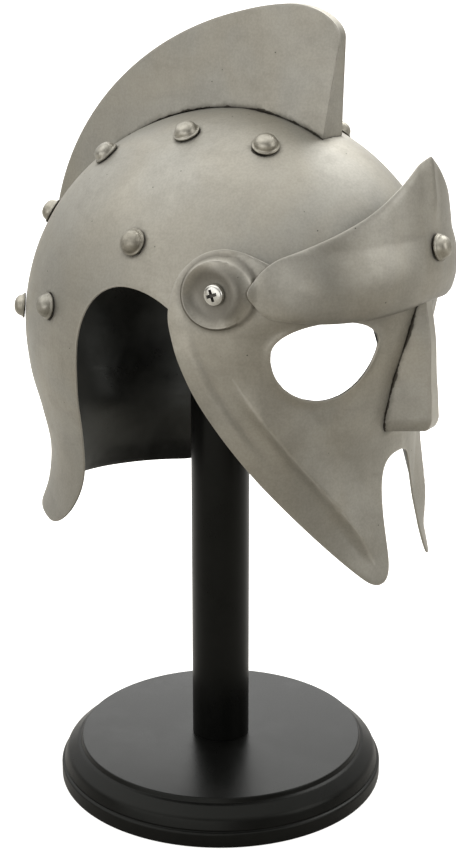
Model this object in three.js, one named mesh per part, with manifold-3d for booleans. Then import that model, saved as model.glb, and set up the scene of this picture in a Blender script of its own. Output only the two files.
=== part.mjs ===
// A steel gladiator helmet on a black turned display stand, built in millimetres with +Z up.
// The helmet faces -Y and the wearer's left is +X. The origin is the centre of the stand's underside.
// Steel pieces: a skull with its neck guard, a keeled crest, and a face mask with a brow guard and a
// nose guard, which tips on one screw at each temple. Round studs dress the skull and the brow guard.
import * as THREE from "three";
import { mergeVertices } from "three/addons/utils/BufferGeometryUtils.js";
import Module from "manifold-3d";

const wasm = await Module();
wasm.setup();

// Driving dimensions
const SHEET = 1.2; // thickness of the steel sheet
const SEAT_GAP = 0.4; // clearance between pieces that touch

const BASE = { diameter: 200, height: 25, topDiameter: 173, segments: 40 };
const POST = { diameter: 35, domeHeight: 2.6, segments: 24 };

// The skull is a half ellipsoid with its own length in front of and behind the centre.
const SKULL = { front: 122, back: 141, side: 103, rise: 130, centreForward: 18, equator: 283 };
const SKULL_GRID = { columns: 60, domeRows: 11 };

// Below the equator the neck guard draws in and flares again: drop below the equator, draw-in.
const NECK_ROWS = [
  { drop: 0, tuck: 0 },
  { drop: 25, tuck: 2.5 },
  { drop: 48, tuck: 9 },
  { drop: 72, tuck: 14 },
  { drop: 95, tuck: 12 },
  { drop: 114, tuck: 5.5 },
];

// Landmarks of the skull's cut edge, seen from the side.
const NECK_BOTTOM = 172;
const EAR_ARCH_TOP = 325.5;
const TEMPLE_TAB_BOTTOM = 312;
const FOREHEAD_EDGE = 342;

// The crest fans out from the skull's centre: polar angle above the forward direction, at base and ridge.
const CREST = {
  baseFront: 62,
  ridgeFront: 69,
  back: 163,
  stations: 20,
  frontHalfWidth: 12,
  backHalfWidth: 6,
  ridgeHalfWidth: 3.2,
  startShare: 1.012, // ridge height at the back, as a share of the skull's radius
  growthPerDegree: 0.0053, // how that share grows towards the front
  cornerSpan: 13, // degrees over which the front corner is rounded
  cornerDrop: 0.15,
  frontPlate: 0.012, // share of the length that the closed front takes
  sunk: 8, // depth below the skull's surface before the foot is cut to it
};

// The mask is a run of half ellipses round the face: height, reach ahead of the post, half width.
const MASK_ROWS = [
  { z: 158, reach: 132, half: 89 },
  { z: 195, reach: 122, half: 93 },
  { z: 228, reach: 118, half: 98 },
  { z: 270, reach: 121, half: 103 },
  { z: 300, reach: 127, half: 105 },
  { z: 330, reach: 131.5, half: 103 },
  { z: 352, reach: 131.5, half: 98 },
  { z: 395, reach: 126, half: 86 },
];

// The mask's lower edge from the mouth round the cheek to the ear, by plan angle from straight ahead.
const MASK_LOWER_EDGE = [
  { plan: 0, z: 229 },
  { plan: 5, z: 228 },
  { plan: 8.5, z: 223 },
  { plan: 10.4, z: 212 },
  { plan: 11.8, z: 192 },
  { plan: 13, z: 175 },
  { plan: 15, z: 165 },
  { plan: 18, z: 160.5 },
  { plan: 22, z: 160.5 },
  { plan: 26, z: 165.5 },
  { plan: 35, z: 182 },
  { plan: 47, z: 207 },
  { plan: 60, z: 237 },
  { plan: 72, z: 269 },
  { plan: 78, z: 292 },
  { plan: 81.5, z: 312 },
];

// The mask's upper edge, hidden by the brow guard in front and rounded over each temple.
const MASK_UPPER_EDGE = [
  { plan: 0, z: 340 },
  { plan: 50, z: 340 },
  { plan: 57, z: 345 },
  { plan: 63, z: 349.5 },
  { plan: 68, z: 350.5 },
  { plan: 73, z: 348 },
  { plan: 77.5, z: 341 },
  { plan: 80.2, z: 332 },
  { plan: 81.5, z: 320 },
];
const MASK_ROWS_OF_QUADS = 10;

// Eye opening: corners and the heights of its lids.
const EYE = { innerPlan: 18, outerPlan: 52, cornerHeight: 297, upperLid: 15, lowerLid: 28, points: 26 };

// Brow guard: plan reach, how far it stands off the mask, and the roll over the eyes.
const BROW = {
  endPlan: 59,
  columns: 30,
  rows: 7,
  endLift: 1.7,
  topLift: 3.2,
  rollLift: 6.5,
  rollHeight: 44,
  rollStart: 0.16, // share of the roll's arc that lies below the lower edge
  closeFrom: 36, // plan angles between which it closes in on the mask
  closeTo: 56,
  roundFrom: 52, // plan angles between which its edges meet in a round end
  roundTo: 59.5,
};
const BROW_EDGES = [
  { plan: 0, low: 316, top: 393 },
  { plan: 6, low: 315.5, top: 389 },
  { plan: 15, low: 314, top: 379.5 },
  { plan: 28, low: 312.5, top: 366 },
  { plan: 42, low: 313, top: 354.5 },
  { plan: 53, low: 315.5, top: 346.5 },
  { plan: 59, low: 318.5, top: 342 },
];

// Nose guard: half width at the mask, half width of the ridge, and the ridge's stand-off. Its top lies
// under the brow guard.
const NOSE_ROWS = [
  { z: 321, half: 7, ridge: 3, lift: 3.4 },
  { z: 315, half: 7.5, ridge: 3, lift: 4.2 },
  { z: 306, half: 9, ridge: 3.1, lift: 7.4 },
  { z: 290, half: 11, ridge: 3.4, lift: 12.6 },
  { z: 266, half: 15, ridge: 4.2, lift: 18.5 },
  { z: 251, half: 17, ridge: 4.8, lift: 21 },
  { z: 244, half: 16, ridge: 4.2, lift: 17 },
];

const NOSE_FOOT = { sunk: 8, spread: 4 }; // how the feet run on before they are cut to the mask

// Temple pivot: the mask's flat pad and the screw along X.
const PIVOT = { forward: 60, z: 328, padRadius: 10.5, padBlend: 20, padFace: 97, hole: 3 };
const SCREW = {
  shank: 2.5,
  head: 5.2,
  headHeight: 3.4,
  collar: 6,
  nut: 4.6,
  nutHeight: 2.4,
  slot: 1.3,
  slotTurn: 0.35,
  segments: 12,
};

// Round studs: diameter, height, straight rim.
const STUD = { diameter: 15, height: 6.5, rim: 1.2, segments: 10, capRows: 3 };
// Studs on the skull: polar angle down from the crown and plan angle from straight ahead.
const CREST_STUDS = [
  { polar: 29, plan: 52 },
  { polar: 25, plan: 101 },
  { polar: 38, plan: 142 },
  { polar: 60, plan: 160 },
];
const RIM_STUDS = [
  { polar: 60, plan: 97 },
  { polar: 80, plan: 124 },
  { polar: 85, plan: 151 },
];
const BROW_STUD_HEIGHT = 345;

const FINISHES = {
  steel: { color: 0x9d998c, roughness: 0.42, metalness: 1 },
  studSteel: { color: 0x8f8b80, roughness: 0.35, metalness: 1 },
  screwSteel: { color: 0xc9c7bd, roughness: 0.2, metalness: 1 },
  blackWood: { color: 0x1c1c1a, roughness: 0.45, metalness: 0 },
};

// Places a point given as distance ahead of the post, distance to the wearer's left, and height.
const place = (forward, left, z) => new THREE.Vector3(left, -forward, z);

// A smooth curve through a table's rows: key is the input column, column the output.
function smooth(rows, key, column, at) {
  const slope = (i, j) => (rows[j][column] - rows[i][column]) / (rows[j][key] - rows[i][key]);
  const last = rows.length - 1;
  const tangent = (i) => slope(Math.max(i - 1, 0), Math.min(i + 1, last));
  let i = 0;
  while (i < last - 1 && at > rows[i + 1][key]) i++;
  const span = rows[i + 1][key] - rows[i][key];
  const t = THREE.MathUtils.clamp((at - rows[i][key]) / span, 0, 1);
  const [a, b] = [rows[i][column], rows[i + 1][column]];
  const bend = t * t * (3 - 2 * t);
  return (
    a + (b - a) * bend + span * (tangent(i) * t * (1 - t) ** 2 - tangent(i + 1) * t * t * (1 - t))
  );
}

// Turns a three.js geometry into a solid for joins and cuts.
function toSolid(geometry) {
  const bare = new THREE.BufferGeometry();
  bare.setAttribute("position", geometry.getAttribute("position"));
  bare.setIndex(geometry.index);
  const merged = mergeVertices(bare, 1e-4);
  const corners = merged.index.array;
  const triangles = [];
  for (let i = 0; i < corners.length; i += 3) {
    const [a, b, c] = corners.slice(i, i + 3);
    if (a !== b && b !== c && c !== a) triangles.push(a, b, c);
  }
  return new wasm.Manifold(
    new wasm.Mesh({
      numProp: 3,
      vertProperties: merged.attributes.position.array,
      triVerts: Uint32Array.from(triangles),
    }),
  );
}

// Turns a solid back into a three.js geometry.
function toGeometry(solid) {
  const mesh = solid.getMesh();
  const geometry = new THREE.BufferGeometry();
  geometry.setAttribute("position", new THREE.BufferAttribute(mesh.vertProperties, mesh.numProp));
  geometry.setIndex(new THREE.BufferAttribute(mesh.triVerts, 1));
  geometry.computeVertexNormals();
  return geometry;
}

// A closed sheet between two grids of points with the same rows and columns.
function sheet(outer, inner, ring = false) {
  const rows = outer.length;
  const columns = outer[0].length;
  const index = [];
  const id = (layer, row, column) => (layer * rows + row) * columns + (column % columns);
  const quad = (a, b, c, d) => index.push(a, b, c, a, c, d);
  const lastColumn = ring ? columns : columns - 1;
  for (let c = 0; c < lastColumn; c++) {
    for (let r = 0; r < rows - 1; r++) {
      quad(id(0, r, c), id(0, r + 1, c), id(0, r + 1, c + 1), id(0, r, c + 1));
      quad(id(1, r, c), id(1, r, c + 1), id(1, r + 1, c + 1), id(1, r + 1, c));
    }
    quad(id(0, 0, c), id(0, 0, c + 1), id(1, 0, c + 1), id(1, 0, c));
    quad(id(0, rows - 1, c + 1), id(0, rows - 1, c), id(1, rows - 1, c), id(1, rows - 1, c + 1));
  }
  if (!ring) {
    for (let r = 0; r < rows - 1; r++) {
      quad(id(0, r + 1, 0), id(0, r, 0), id(1, r, 0), id(1, r + 1, 0));
      const end = columns - 1;
      quad(id(0, r, end), id(0, r + 1, end), id(1, r + 1, end), id(1, r, end));
    }
  }
  return fromPoints([...outer.flat(), ...inner.flat()], index);
}

function fromPoints(points, index) {
  const geometry = new THREE.BufferGeometry().setFromPoints(points);
  geometry.setIndex(index);
  return geometry;
}

// A closed loft through rings of points that all have the same count.
function loft(rings) {
  const count = rings[0].length;
  const index = [];
  for (let r = 0; r < rings.length - 1; r++) {
    for (let k = 0; k < count; k++) {
      const next = (k + 1) % count;
      const [a, b] = [r * count + k, r * count + next];
      index.push(a, b, b + count, a, b + count, a + count);
    }
  }
  const end = (rings.length - 1) * count;
  for (let k = 1; k < count - 1; k++) {
    index.push(0, k + 1, k);
    index.push(end, end + k, end + k + 1);
  }
  return fromPoints(rings.flat(), index);
}

// Turns a solid that was wound inwards the right way round.
function outward(geometry) {
  if (toSolid(geometry).volume() > 0) return geometry;
  const corners = geometry.index.array;
  for (let i = 0; i < corners.length; i += 3) {
    [corners[i + 1], corners[i + 2]] = [corners[i + 2], corners[i + 1]];
  }
  return geometry;
}

// A turned solid about Z from a profile of radius and height pairs.
function turned(profile, segments) {
  const points = profile.map(([radius, height]) => new THREE.Vector2(radius, height));
  const geometry = new THREE.LatheGeometry(points, segments);
  geometry.rotateX(Math.PI / 2);
  return geometry;
}

// Skull surface

const planAngle = (degrees) => THREE.MathUtils.degToRad(degrees);

// A point of the skull at a plan angle, on a level given by its height and share of the full girth.
function skullPoint(plan, level, inset) {
  const length = Math.cos(plan) >= 0 ? SKULL.front : SKULL.back;
  const forward = (length * level.girth - inset * level.wall) * Math.cos(plan);
  const left = (SKULL.side * level.girth - inset * level.wall) * Math.sin(plan);
  return place(SKULL.centreForward + forward, left, level.z - inset * level.lift);
}

// The level at a polar angle down from the crown, on the dome.
function domeLevel(polar) {
  const [sine, cosine] = [Math.sin(polar), Math.cos(polar)];
  return { z: SKULL.equator + SKULL.rise * cosine, girth: sine, wall: sine, lift: cosine };
}

// The level at a drop below the equator, on the neck guard.
function neckLevel(drop) {
  const girth = 1 - smooth(NECK_ROWS, "drop", "tuck", drop) / SKULL.back;
  return { z: SKULL.equator - drop, girth, wall: 1, lift: 0 };
}

function skullLevels() {
  const levels = [];
  for (let i = 0; i <= SKULL_GRID.domeRows; i++) {
    levels.push(domeLevel((i / SKULL_GRID.domeRows) * (Math.PI / 2)));
  }
  const stops = NECK_ROWS.slice(1).map((row) => row.drop);
  return levels.concat(stops.map(neckLevel));
}

// The skull's surface as a grid of points, moved in by an inset.
function skullGrid(inset) {
  return skullLevels().map((level) =>
    Array.from({ length: SKULL_GRID.columns }, (_, column) =>
      skullPoint((column / SKULL_GRID.columns) * 2 * Math.PI, level, inset),
    ),
  );
}

// Height of the skull's surface over a point of the plan.
function skullHeight(forward, left, inset) {
  const ahead = forward - SKULL.centreForward;
  const length = (ahead >= 0 ? SKULL.front : SKULL.back) - inset;
  const rest = 1 - (ahead / length) ** 2 - (left / (SKULL.side - inset)) ** 2;
  return SKULL.equator + (SKULL.rise - inset) * Math.sqrt(rest);
}

// The whole skull filled solid, grown by an outset, for seating pieces on it.
function skullBlock(outset) {
  const grid = skullGrid(-outset);
  const floor = grid.at(-1).map((point) => place(SKULL.centreForward, 0, point.z));
  return toSolid(outward(sheet([...grid, floor], [...grid, floor].map(() => floor), true)));
}

// The side view of the skull's material: neck guard, ear arch, temple tab and forehead.
function skullOutline() {
  const [far, high] = [200, 460];
  const outline = new THREE.Shape();
  outline.moveTo(-far, NECK_BOTTOM);
  outline.lineTo(-76, NECK_BOTTOM);
  outline.bezierCurveTo(-60, NECK_BOTTOM, -43, 190, -39, 213);
  outline.bezierCurveTo(-35, 236, -34, 262, -31.5, 288);
  outline.bezierCurveTo(-29, 312, -14, EAR_ARCH_TOP, 3, EAR_ARCH_TOP);
  outline.bezierCurveTo(20, EAR_ARCH_TOP, 31, 318, 40, TEMPLE_TAB_BOTTOM);
  outline.lineTo(60, TEMPLE_TAB_BOTTOM);
  outline.bezierCurveTo(70, TEMPLE_TAB_BOTTOM, 76, 326, 88, FOREHEAD_EDGE);
  outline.lineTo(far, FOREHEAD_EDGE);
  outline.lineTo(far, high);
  outline.lineTo(-far, high);
  return outline;
}

// A side view outline drawn out across the helmet.
function acrossHelmet(outline) {
  const width = 260;
  const settings = { depth: width, bevelEnabled: false, curveSegments: 7 };
  const geometry = new THREE.ExtrudeGeometry(outline, settings);
  geometry.translate(0, 0, -width / 2);
  const turn = new THREE.Matrix4().makeBasis(
    new THREE.Vector3(0, -1, 0),
    new THREE.Vector3(0, 0, 1),
    new THREE.Vector3(-1, 0, 0),
  );
  geometry.applyMatrix4(turn);
  return toSolid(geometry);
}

// A round bar along X through both temples.
function pivotBore(radius) {
  const bore = new THREE.CylinderGeometry(radius, radius, 260, 12);
  bore.rotateZ(Math.PI / 2);
  bore.translate(0, -PIVOT.forward, PIVOT.z);
  return toSolid(bore);
}

function makeSkull() {
  const shell = toSolid(outward(sheet(skullGrid(0), skullGrid(SHEET), true)));
  return toGeometry(shell.intersect(acrossHelmet(skullOutline())).subtract(pivotBore(PIVOT.hole)));
}

// Crest

// Point on a ray from the skull's centre, at a polar angle and a share of the skull's radius.
function crestPoint(degrees, share, left) {
  const angle = planAngle(degrees);
  const length = Math.cos(angle) >= 0 ? SKULL.front : SKULL.back;
  return place(
    SKULL.centreForward + length * share * Math.cos(angle),
    left,
    SKULL.equator + SKULL.rise * share * Math.sin(angle),
  );
}

// The ridge's height over the skull, as a share of its radius, with the front corner rounded off.
function crestShare(degrees) {
  const rise = CREST.startShare + CREST.growthPerDegree * (CREST.back - degrees);
  const past = THREE.MathUtils.clamp(1 - (degrees - CREST.ridgeFront) / CREST.cornerSpan, 0, 1);
  return rise - CREST.cornerDrop * (1 - Math.sqrt(1 - past ** 2));
}

// One section of the crest: foot and ridge on both sides, all moved in by the sheet if asked.
function crestSection(step, inset) {
  const base = THREE.MathUtils.lerp(CREST.back, CREST.baseFront, step);
  const ridge = THREE.MathUtils.lerp(CREST.back, CREST.ridgeFront, step);
  const foot = THREE.MathUtils.lerp(CREST.backHalfWidth, CREST.frontHalfWidth, step) - inset;
  const top = Math.max(CREST.ridgeHalfWidth - inset, 0.6);
  const share = crestShare(ridge) - inset / SKULL.rise;
  const sunk = 1 - (CREST.sunk + inset * 4) / SKULL.rise;
  return [
    crestPoint(base, sunk, -foot),
    crestPoint(ridge, share, -top),
    crestPoint(ridge, share, top),
    crestPoint(base, sunk, foot),
  ];
}

function makeCrest() {
  const quarter = Math.PI / 2; // sine steps put more sections at the rounded front
  const steps = Array.from({ length: CREST.stations + 1 }, (_, i) =>
    Math.sin((i / CREST.stations) * quarter),
  );
  const plate = CREST.frontPlate;
  const outer = loft(steps.map((step) => crestSection(step, 0)));
  const inner = loft(steps.map((step) => crestSection(step * (1 - plate) - plate, SHEET)));
  const fin = toSolid(outward(outer)).subtract(toSolid(outward(inner)));
  const parts = fin.subtract(skullBlock(SEAT_GAP)).decompose();
  return toGeometry(parts.sort((a, b) => b.volume() - a.volume())[0]);
}

// Face mask

// A point on the mask at a plan angle and height, moved out square to the face.
function maskPoint(plan, z, out) {
  const length = smooth(MASK_ROWS, "z", "reach", z) - SKULL.centreForward;
  const half = smooth(MASK_ROWS, "z", "half", z);
  const normal = new THREE.Vector2(Math.cos(plan) / length, Math.sin(plan) / half).normalize();
  const forward = SKULL.centreForward + length * Math.cos(plan) + out * normal.x;
  const left = half * Math.sin(plan) + out * normal.y;
  return place(forward, left, z);
}

// The same with a flat round pad pressed square to X round each temple screw.
function maskPadPoint(plan, z, out) {
  const point = maskPoint(plan, z, out);
  const fromPivot = Math.hypot(-point.y - PIVOT.forward, point.z - PIVOT.z);
  const side = Math.sign(point.x);
  const pad = 1 - THREE.MathUtils.smoothstep(fromPivot, PIVOT.padRadius, PIVOT.padBlend);
  point.x = THREE.MathUtils.lerp(point.x, side * (PIVOT.padFace + out), pad);
  return point;
}

// Plan angles of the mask's columns: both edges' table angles with a midpoint in each long gap.
function maskColumns() {
  const stops = [...MASK_LOWER_EDGE, ...MASK_UPPER_EDGE].map((row) => row.plan);
  const half = [...new Set(stops)].sort((a, b) => a - b);
  const gap = 4;
  const filled = half.flatMap((plan, i) => {
    const next = half[i + 1];
    return next - plan > gap ? [plan, (plan + next) / 2] : [plan];
  });
  return [...filled.slice(1).reverse().map((plan) => -plan), ...filled];
}

function maskGrid(out) {
  const columns = maskColumns();
  return Array.from({ length: MASK_ROWS_OF_QUADS + 1 }, (_, row) =>
    columns.map((degrees) => {
      const low = smooth(MASK_LOWER_EDGE, "plan", "z", Math.abs(degrees));
      const high = smooth(MASK_UPPER_EDGE, "plan", "z", Math.abs(degrees));
      const z = THREE.MathUtils.lerp(high, low, row / MASK_ROWS_OF_QUADS);
      return maskPadPoint(planAngle(degrees), z, out);
    }),
  );
}

// Almond outline of an eye opening as plan angle and height, for the left side.
function eyeOutline() {
  const middle = (EYE.innerPlan + EYE.outerPlan) / 2;
  const reach = (EYE.outerPlan - EYE.innerPlan) / 2;
  return Array.from({ length: EYE.points }, (_, i) => {
    const turn = (i / EYE.points) * 2 * Math.PI;
    const lid = Math.sin(turn) > 0 ? EYE.upperLid : EYE.lowerLid;
    return { plan: middle + reach * Math.cos(turn), z: EYE.cornerHeight + lid * Math.sin(turn) };
  });
}

// A plug through the mask along an outline, square to the face.
function maskPlug(outline, side) {
  const depth = 12;
  const points = [depth, -depth].flatMap((out) =>
    outline.map(({ plan, z }) => maskPoint(planAngle(plan * side), z, out)),
  );
  const count = outline.length;
  const middle = {
    plan: outline.reduce((sum, p) => sum + p.plan, 0) / count,
    z: outline.reduce((sum, p) => sum + p.z, 0) / count,
  };
  for (const out of [depth, -depth]) points.push(maskPoint(planAngle(middle.plan * side), middle.z, out));
  const index = [];
  for (let i = 0; i < count; i++) {
    const next = (i + 1) % count;
    index.push(i, next, 2 * count);
    index.push(count + next, count + i, 2 * count + 1);
    index.push(next, i, count + i, next, count + i, count + next);
  }
  return toSolid(outward(fromPoints(points, index)));
}

function makeMask() {
  let mask = toSolid(outward(sheet(maskGrid(0), maskGrid(-SHEET))));
  for (const side of [1, -1]) mask = mask.subtract(maskPlug(eyeOutline(), side));
  return toGeometry(mask.subtract(pivotBore(PIVOT.hole)));
}

// Brow guard

// How far the brow guard stands off the mask: rolled out over the eyes, close at the temples.
function browLift(degrees, share) {
  const open = 1 - THREE.MathUtils.smoothstep(Math.abs(degrees), BROW.closeFrom, BROW.closeTo);
  const roll = Math.sin(Math.PI * Math.min(BROW.rollStart + share, 1));
  const lift = BROW.topLift + (BROW.rollLift - BROW.topLift) * roll;
  return THREE.MathUtils.lerp(BROW.endLift, lift, open);
}

// Heights of the brow guard's two edges, which meet in a round end at each temple.
function browEdges(degrees) {
  const plan = Math.abs(degrees);
  const low = smooth(BROW_EDGES, "plan", "low", plan);
  const top = smooth(BROW_EDGES, "plan", "top", plan);
  const past = Math.max(plan - BROW.roundFrom, 0) / (BROW.roundTo - BROW.roundFrom);
  const close = (1 - Math.sqrt(1 - past ** 2)) / 2;
  return [THREE.MathUtils.lerp(low, top, close), THREE.MathUtils.lerp(top, low, close)];
}

function browPoint(degrees, share, out) {
  const [low, top] = browEdges(degrees);
  const z = THREE.MathUtils.lerp(low, top, share);
  const lift = browLift(degrees, (z - low) / BROW.rollHeight);
  return maskPadPoint(planAngle(degrees), z, lift + out);
}

function makeBrow() {
  const grid = (out) =>
    Array.from({ length: BROW.rows + 1 }, (_, row) =>
      Array.from({ length: BROW.columns + 1 }, (__, column) => {
        const degrees = THREE.MathUtils.lerp(-BROW.endPlan, BROW.endPlan, column / BROW.columns);
        return browPoint(degrees, 1 - row / BROW.rows, out);
      }),
    );
  return outward(sheet(grid(SHEET), grid(0)));
}

// Nose guard

// One level of the nose guard: feet sunk into the mask, ridge in front.
function noseSection(row, inset) {
  const reach = smooth(MASK_ROWS, "z", "reach", row.z);
  const foot = row.half + NOSE_FOOT.spread - inset;
  const ridge = row.ridge - inset / 2;
  return [
    place(reach - NOSE_FOOT.sunk, -foot, row.z),
    place(reach + row.lift - inset, -ridge, row.z),
    place(reach + row.lift - inset, ridge, row.z),
    place(reach - NOSE_FOOT.sunk, foot, row.z),
  ];
}

function makeNose() {
  const outer = loft(NOSE_ROWS.map((row) => noseSection(row, 0)));
  const inner = NOSE_ROWS.map((row) => noseSection(row, SHEET * 1.5)); // the sides slope, so more inset
  for (const point of inner[0]) point.z += SHEET; // open at the top
  for (const point of inner.at(-1)) point.z += SHEET; // closed at the bottom
  const face = toSolid(outward(sheet(maskGrid(SEAT_GAP), maskGrid(-3 * NOSE_FOOT.sunk))));
  const shell = toSolid(outward(outer)).subtract(toSolid(outward(loft(inner)))).subtract(face);
  return toGeometry(shell.decompose().sort((a, b) => b.volume() - a.volume())[0]);
}

// Temple screws

// The left screw along X: nut inside the skull, collar between the sheets, crossed pan head outside.
function makeScrew(side) {
  const collarStart = skullSideAtPivot(SCREW.collar) + SEAT_GAP;
  const collarEnd = PIVOT.padFace - SHEET - SEAT_GAP;
  const slantedWall = SHEET * 1.3; // the skull's wall, measured along the screw
  const nutEnd = skullSideAtPivot(-SCREW.nut) - slantedWall - SEAT_GAP;
  const headStart = PIVOT.padFace + SEAT_GAP;
  const profile = [
    [0, nutEnd - SCREW.nutHeight],
    [SCREW.nut, nutEnd - SCREW.nutHeight],
    [SCREW.nut, nutEnd],
    [SCREW.shank, nutEnd],
    [SCREW.shank, collarStart],
    [SCREW.collar, collarStart],
    [SCREW.collar, collarEnd],
    [SCREW.shank, collarEnd],
    [SCREW.shank, headStart],
    [SCREW.head, headStart],
    [SCREW.head, headStart + SCREW.headHeight * 0.5],
    [SCREW.head * 0.82, headStart + SCREW.headHeight * 0.85],
    [SCREW.head * 0.45, headStart + SCREW.headHeight],
    [0, headStart + SCREW.headHeight],
  ];
  let screw = toSolid(turned(profile, SCREW.segments));
  for (const turn of [0, Math.PI / 2]) {
    const slot = new THREE.BoxGeometry(SCREW.head * 1.15, SCREW.slot, 4);
    slot.rotateZ(turn + SCREW.slotTurn);
    slot.translate(0, 0, headStart + SCREW.headHeight);
    screw = screw.subtract(toSolid(slot));
  }
  const geometry = toGeometry(screw);
  geometry.rotateY((side * Math.PI) / 2);
  geometry.translate(0, -PIVOT.forward, PIVOT.z);
  return geometry;
}

// The skull's widest half width within a radius of the pivot, or its narrowest for a minus radius.
function skullSideAtPivot(radius) {
  const low = PIVOT.z - SKULL.equator - radius * 0.7;
  const back = PIVOT.forward - SKULL.centreForward - radius * 0.7;
  return SKULL.side * Math.sqrt(1 - (low / SKULL.rise) ** 2 - (back / SKULL.front) ** 2);
}

// Studs

function studProfile() {
  const radius = STUD.diameter / 2;
  const cap = Array.from({ length: STUD.capRows + 1 }, (_, i) => {
    const turn = (i / STUD.capRows) * (Math.PI / 2);
    return [radius * Math.cos(turn), STUD.rim + (STUD.height - STUD.rim) * Math.sin(turn)];
  });
  return [[0, 0], [radius, 0], ...cap.slice(0, -1), [0, STUD.height]];
}

function makeStud(name, point, normal) {
  const stud = named(name, turned(studProfile(), STUD.segments), "studSteel");
  stud.position.copy(point).addScaledVector(normal, SEAT_GAP);
  stud.quaternion.setFromUnitVectors(new THREE.Vector3(0, 0, 1), normal);
  return stud;
}

// A stud on the skull, square to its surface.
function makeSkullStud(name, polarDegrees, planDegrees) {
  const [polar, plan] = [planAngle(polarDegrees), planAngle(planDegrees)];
  const point = skullPoint(plan, domeLevel(polar), 0);
  const length = Math.cos(plan) >= 0 ? SKULL.front : SKULL.back;
  const normal = place(
    (-point.y - SKULL.centreForward) / length ** 2,
    point.x / SKULL.side ** 2,
    (point.z - SKULL.equator) / SKULL.rise ** 2,
  );
  return makeStud(name, point, normal.normalize());
}

// The stud in the middle of the brow guard, square to its surface.
function makeBrowStud() {
  const { low, top } = BROW_EDGES[0];
  const share = (BROW_STUD_HEIGHT - low) / (top - low);
  const reach = STUD.diameter / 2 / (top - low);
  const at = (s) => browPoint(0, s, SHEET);
  const up = at(share + reach).sub(at(share - reach)).normalize();
  const normal = new THREE.Vector3(1, 0, 0).cross(up);
  const seat = at(share + reach).add(at(share - reach)).multiplyScalar(0.5);
  const bulge = Math.max(at(share).sub(seat).dot(normal), 0);
  return makeStud("stud_brow_centre", seat.addScaledVector(normal, bulge), normal);
}

// Display stand

function makeBase() {
  const [rim, top] = [BASE.diameter / 2, BASE.topDiameter / 2];
  const profile = [
    [0, 0],
    [rim - 1, 0],
    [rim, 1],
    [rim, 8],
    [rim - 1.2, 9.6],
    [rim - 2.6, 10.2],
    [rim - 4.6, 14.5],
    [rim - 8.4, 19],
    [top + 2.4, 21.6],
    [top + 1.6, BASE.height - 1.2],
    [top, BASE.height],
    [0, BASE.height],
  ];
  return turned(profile, BASE.segments);
}

function makePost() {
  const radius = POST.diameter / 2;
  const corner = skullHeight(-radius * 0.8, radius * 0.6, SHEET) - 2 * SEAT_GAP;
  const crown = Math.min(skullHeight(0, 0, SHEET) - 2 * SEAT_GAP, corner + POST.domeHeight);
  const shoulder = crown - POST.domeHeight;
  const profile = [
    [0, BASE.height],
    [radius, BASE.height],
    [radius, shoulder - 1],
    [radius - 1, shoulder],
    [radius * 0.7, crown - POST.domeHeight * 0.49],
    [radius * 0.35, crown - POST.domeHeight * 0.12],
    [0, crown],
  ];
  return turned(profile, POST.segments);
}

// Assembly

function named(name, geometry, finish) {
  const mesh = new THREE.Mesh(geometry, new THREE.MeshStandardMaterial(FINISHES[finish]));
  mesh.name = name;
  return mesh;
}

const stand = new THREE.Group();
stand.add(named("stand_base", makeBase(), "blackWood"), named("stand_post", makePost(), "blackWood"));

const skull = new THREE.Group();
skull.add(named("skull", makeSkull(), "steel"), named("crest", makeCrest(), "steel"));
for (const [side, sign] of Object.entries({ left: 1, right: -1 })) {
  CREST_STUDS.forEach(({ polar, plan }, i) => {
    skull.add(makeSkullStud(`stud_crest_${side}_${i + 1}`, polar, sign * plan));
  });
  RIM_STUDS.forEach(({ polar, plan }, i) => {
    skull.add(makeSkullStud(`stud_rim_${side}_${i + 1}`, polar, sign * plan));
  });
  skull.add(named(`pivot_screw_${side}`, makeScrew(sign), "screwSteel"));
}

const mask = new THREE.Group();
mask.add(named("face_mask", makeMask(), "steel"), named("nose_guard", makeNose(), "steel"));
mask.add(named("brow_guard", makeBrow(), "steel"), makeBrowStud());

const helmetOnStand = new THREE.Group();
helmetOnStand.add(stand, skull, mask);

export default helmetOnStand;
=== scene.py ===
# Looks of a steel gladiator helmet on a black turned stand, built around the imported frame.
# Shapes are worked out in millimetres, as distance ahead of the post, to the wearer's left, and up.
import math

import bmesh
import bpy
import numpy as np
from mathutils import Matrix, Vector, noise
from mathutils.geometry import delaunay_2d_cdt
from mathutils.kdtree import KDTree


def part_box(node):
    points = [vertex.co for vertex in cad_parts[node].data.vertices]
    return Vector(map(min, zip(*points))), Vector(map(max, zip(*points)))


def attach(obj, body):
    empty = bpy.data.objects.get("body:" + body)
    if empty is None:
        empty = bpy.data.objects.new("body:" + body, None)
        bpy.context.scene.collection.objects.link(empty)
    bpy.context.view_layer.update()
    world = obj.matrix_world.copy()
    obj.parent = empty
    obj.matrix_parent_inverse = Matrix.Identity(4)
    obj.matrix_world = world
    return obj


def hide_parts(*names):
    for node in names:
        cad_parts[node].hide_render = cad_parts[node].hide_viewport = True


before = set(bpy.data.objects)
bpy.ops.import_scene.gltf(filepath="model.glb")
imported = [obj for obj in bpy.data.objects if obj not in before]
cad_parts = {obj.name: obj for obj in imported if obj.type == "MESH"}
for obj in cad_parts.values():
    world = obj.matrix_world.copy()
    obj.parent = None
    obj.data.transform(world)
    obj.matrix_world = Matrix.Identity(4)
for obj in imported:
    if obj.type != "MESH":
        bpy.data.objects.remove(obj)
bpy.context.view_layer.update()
print("frame loaded:", len(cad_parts), "nodes")

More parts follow.
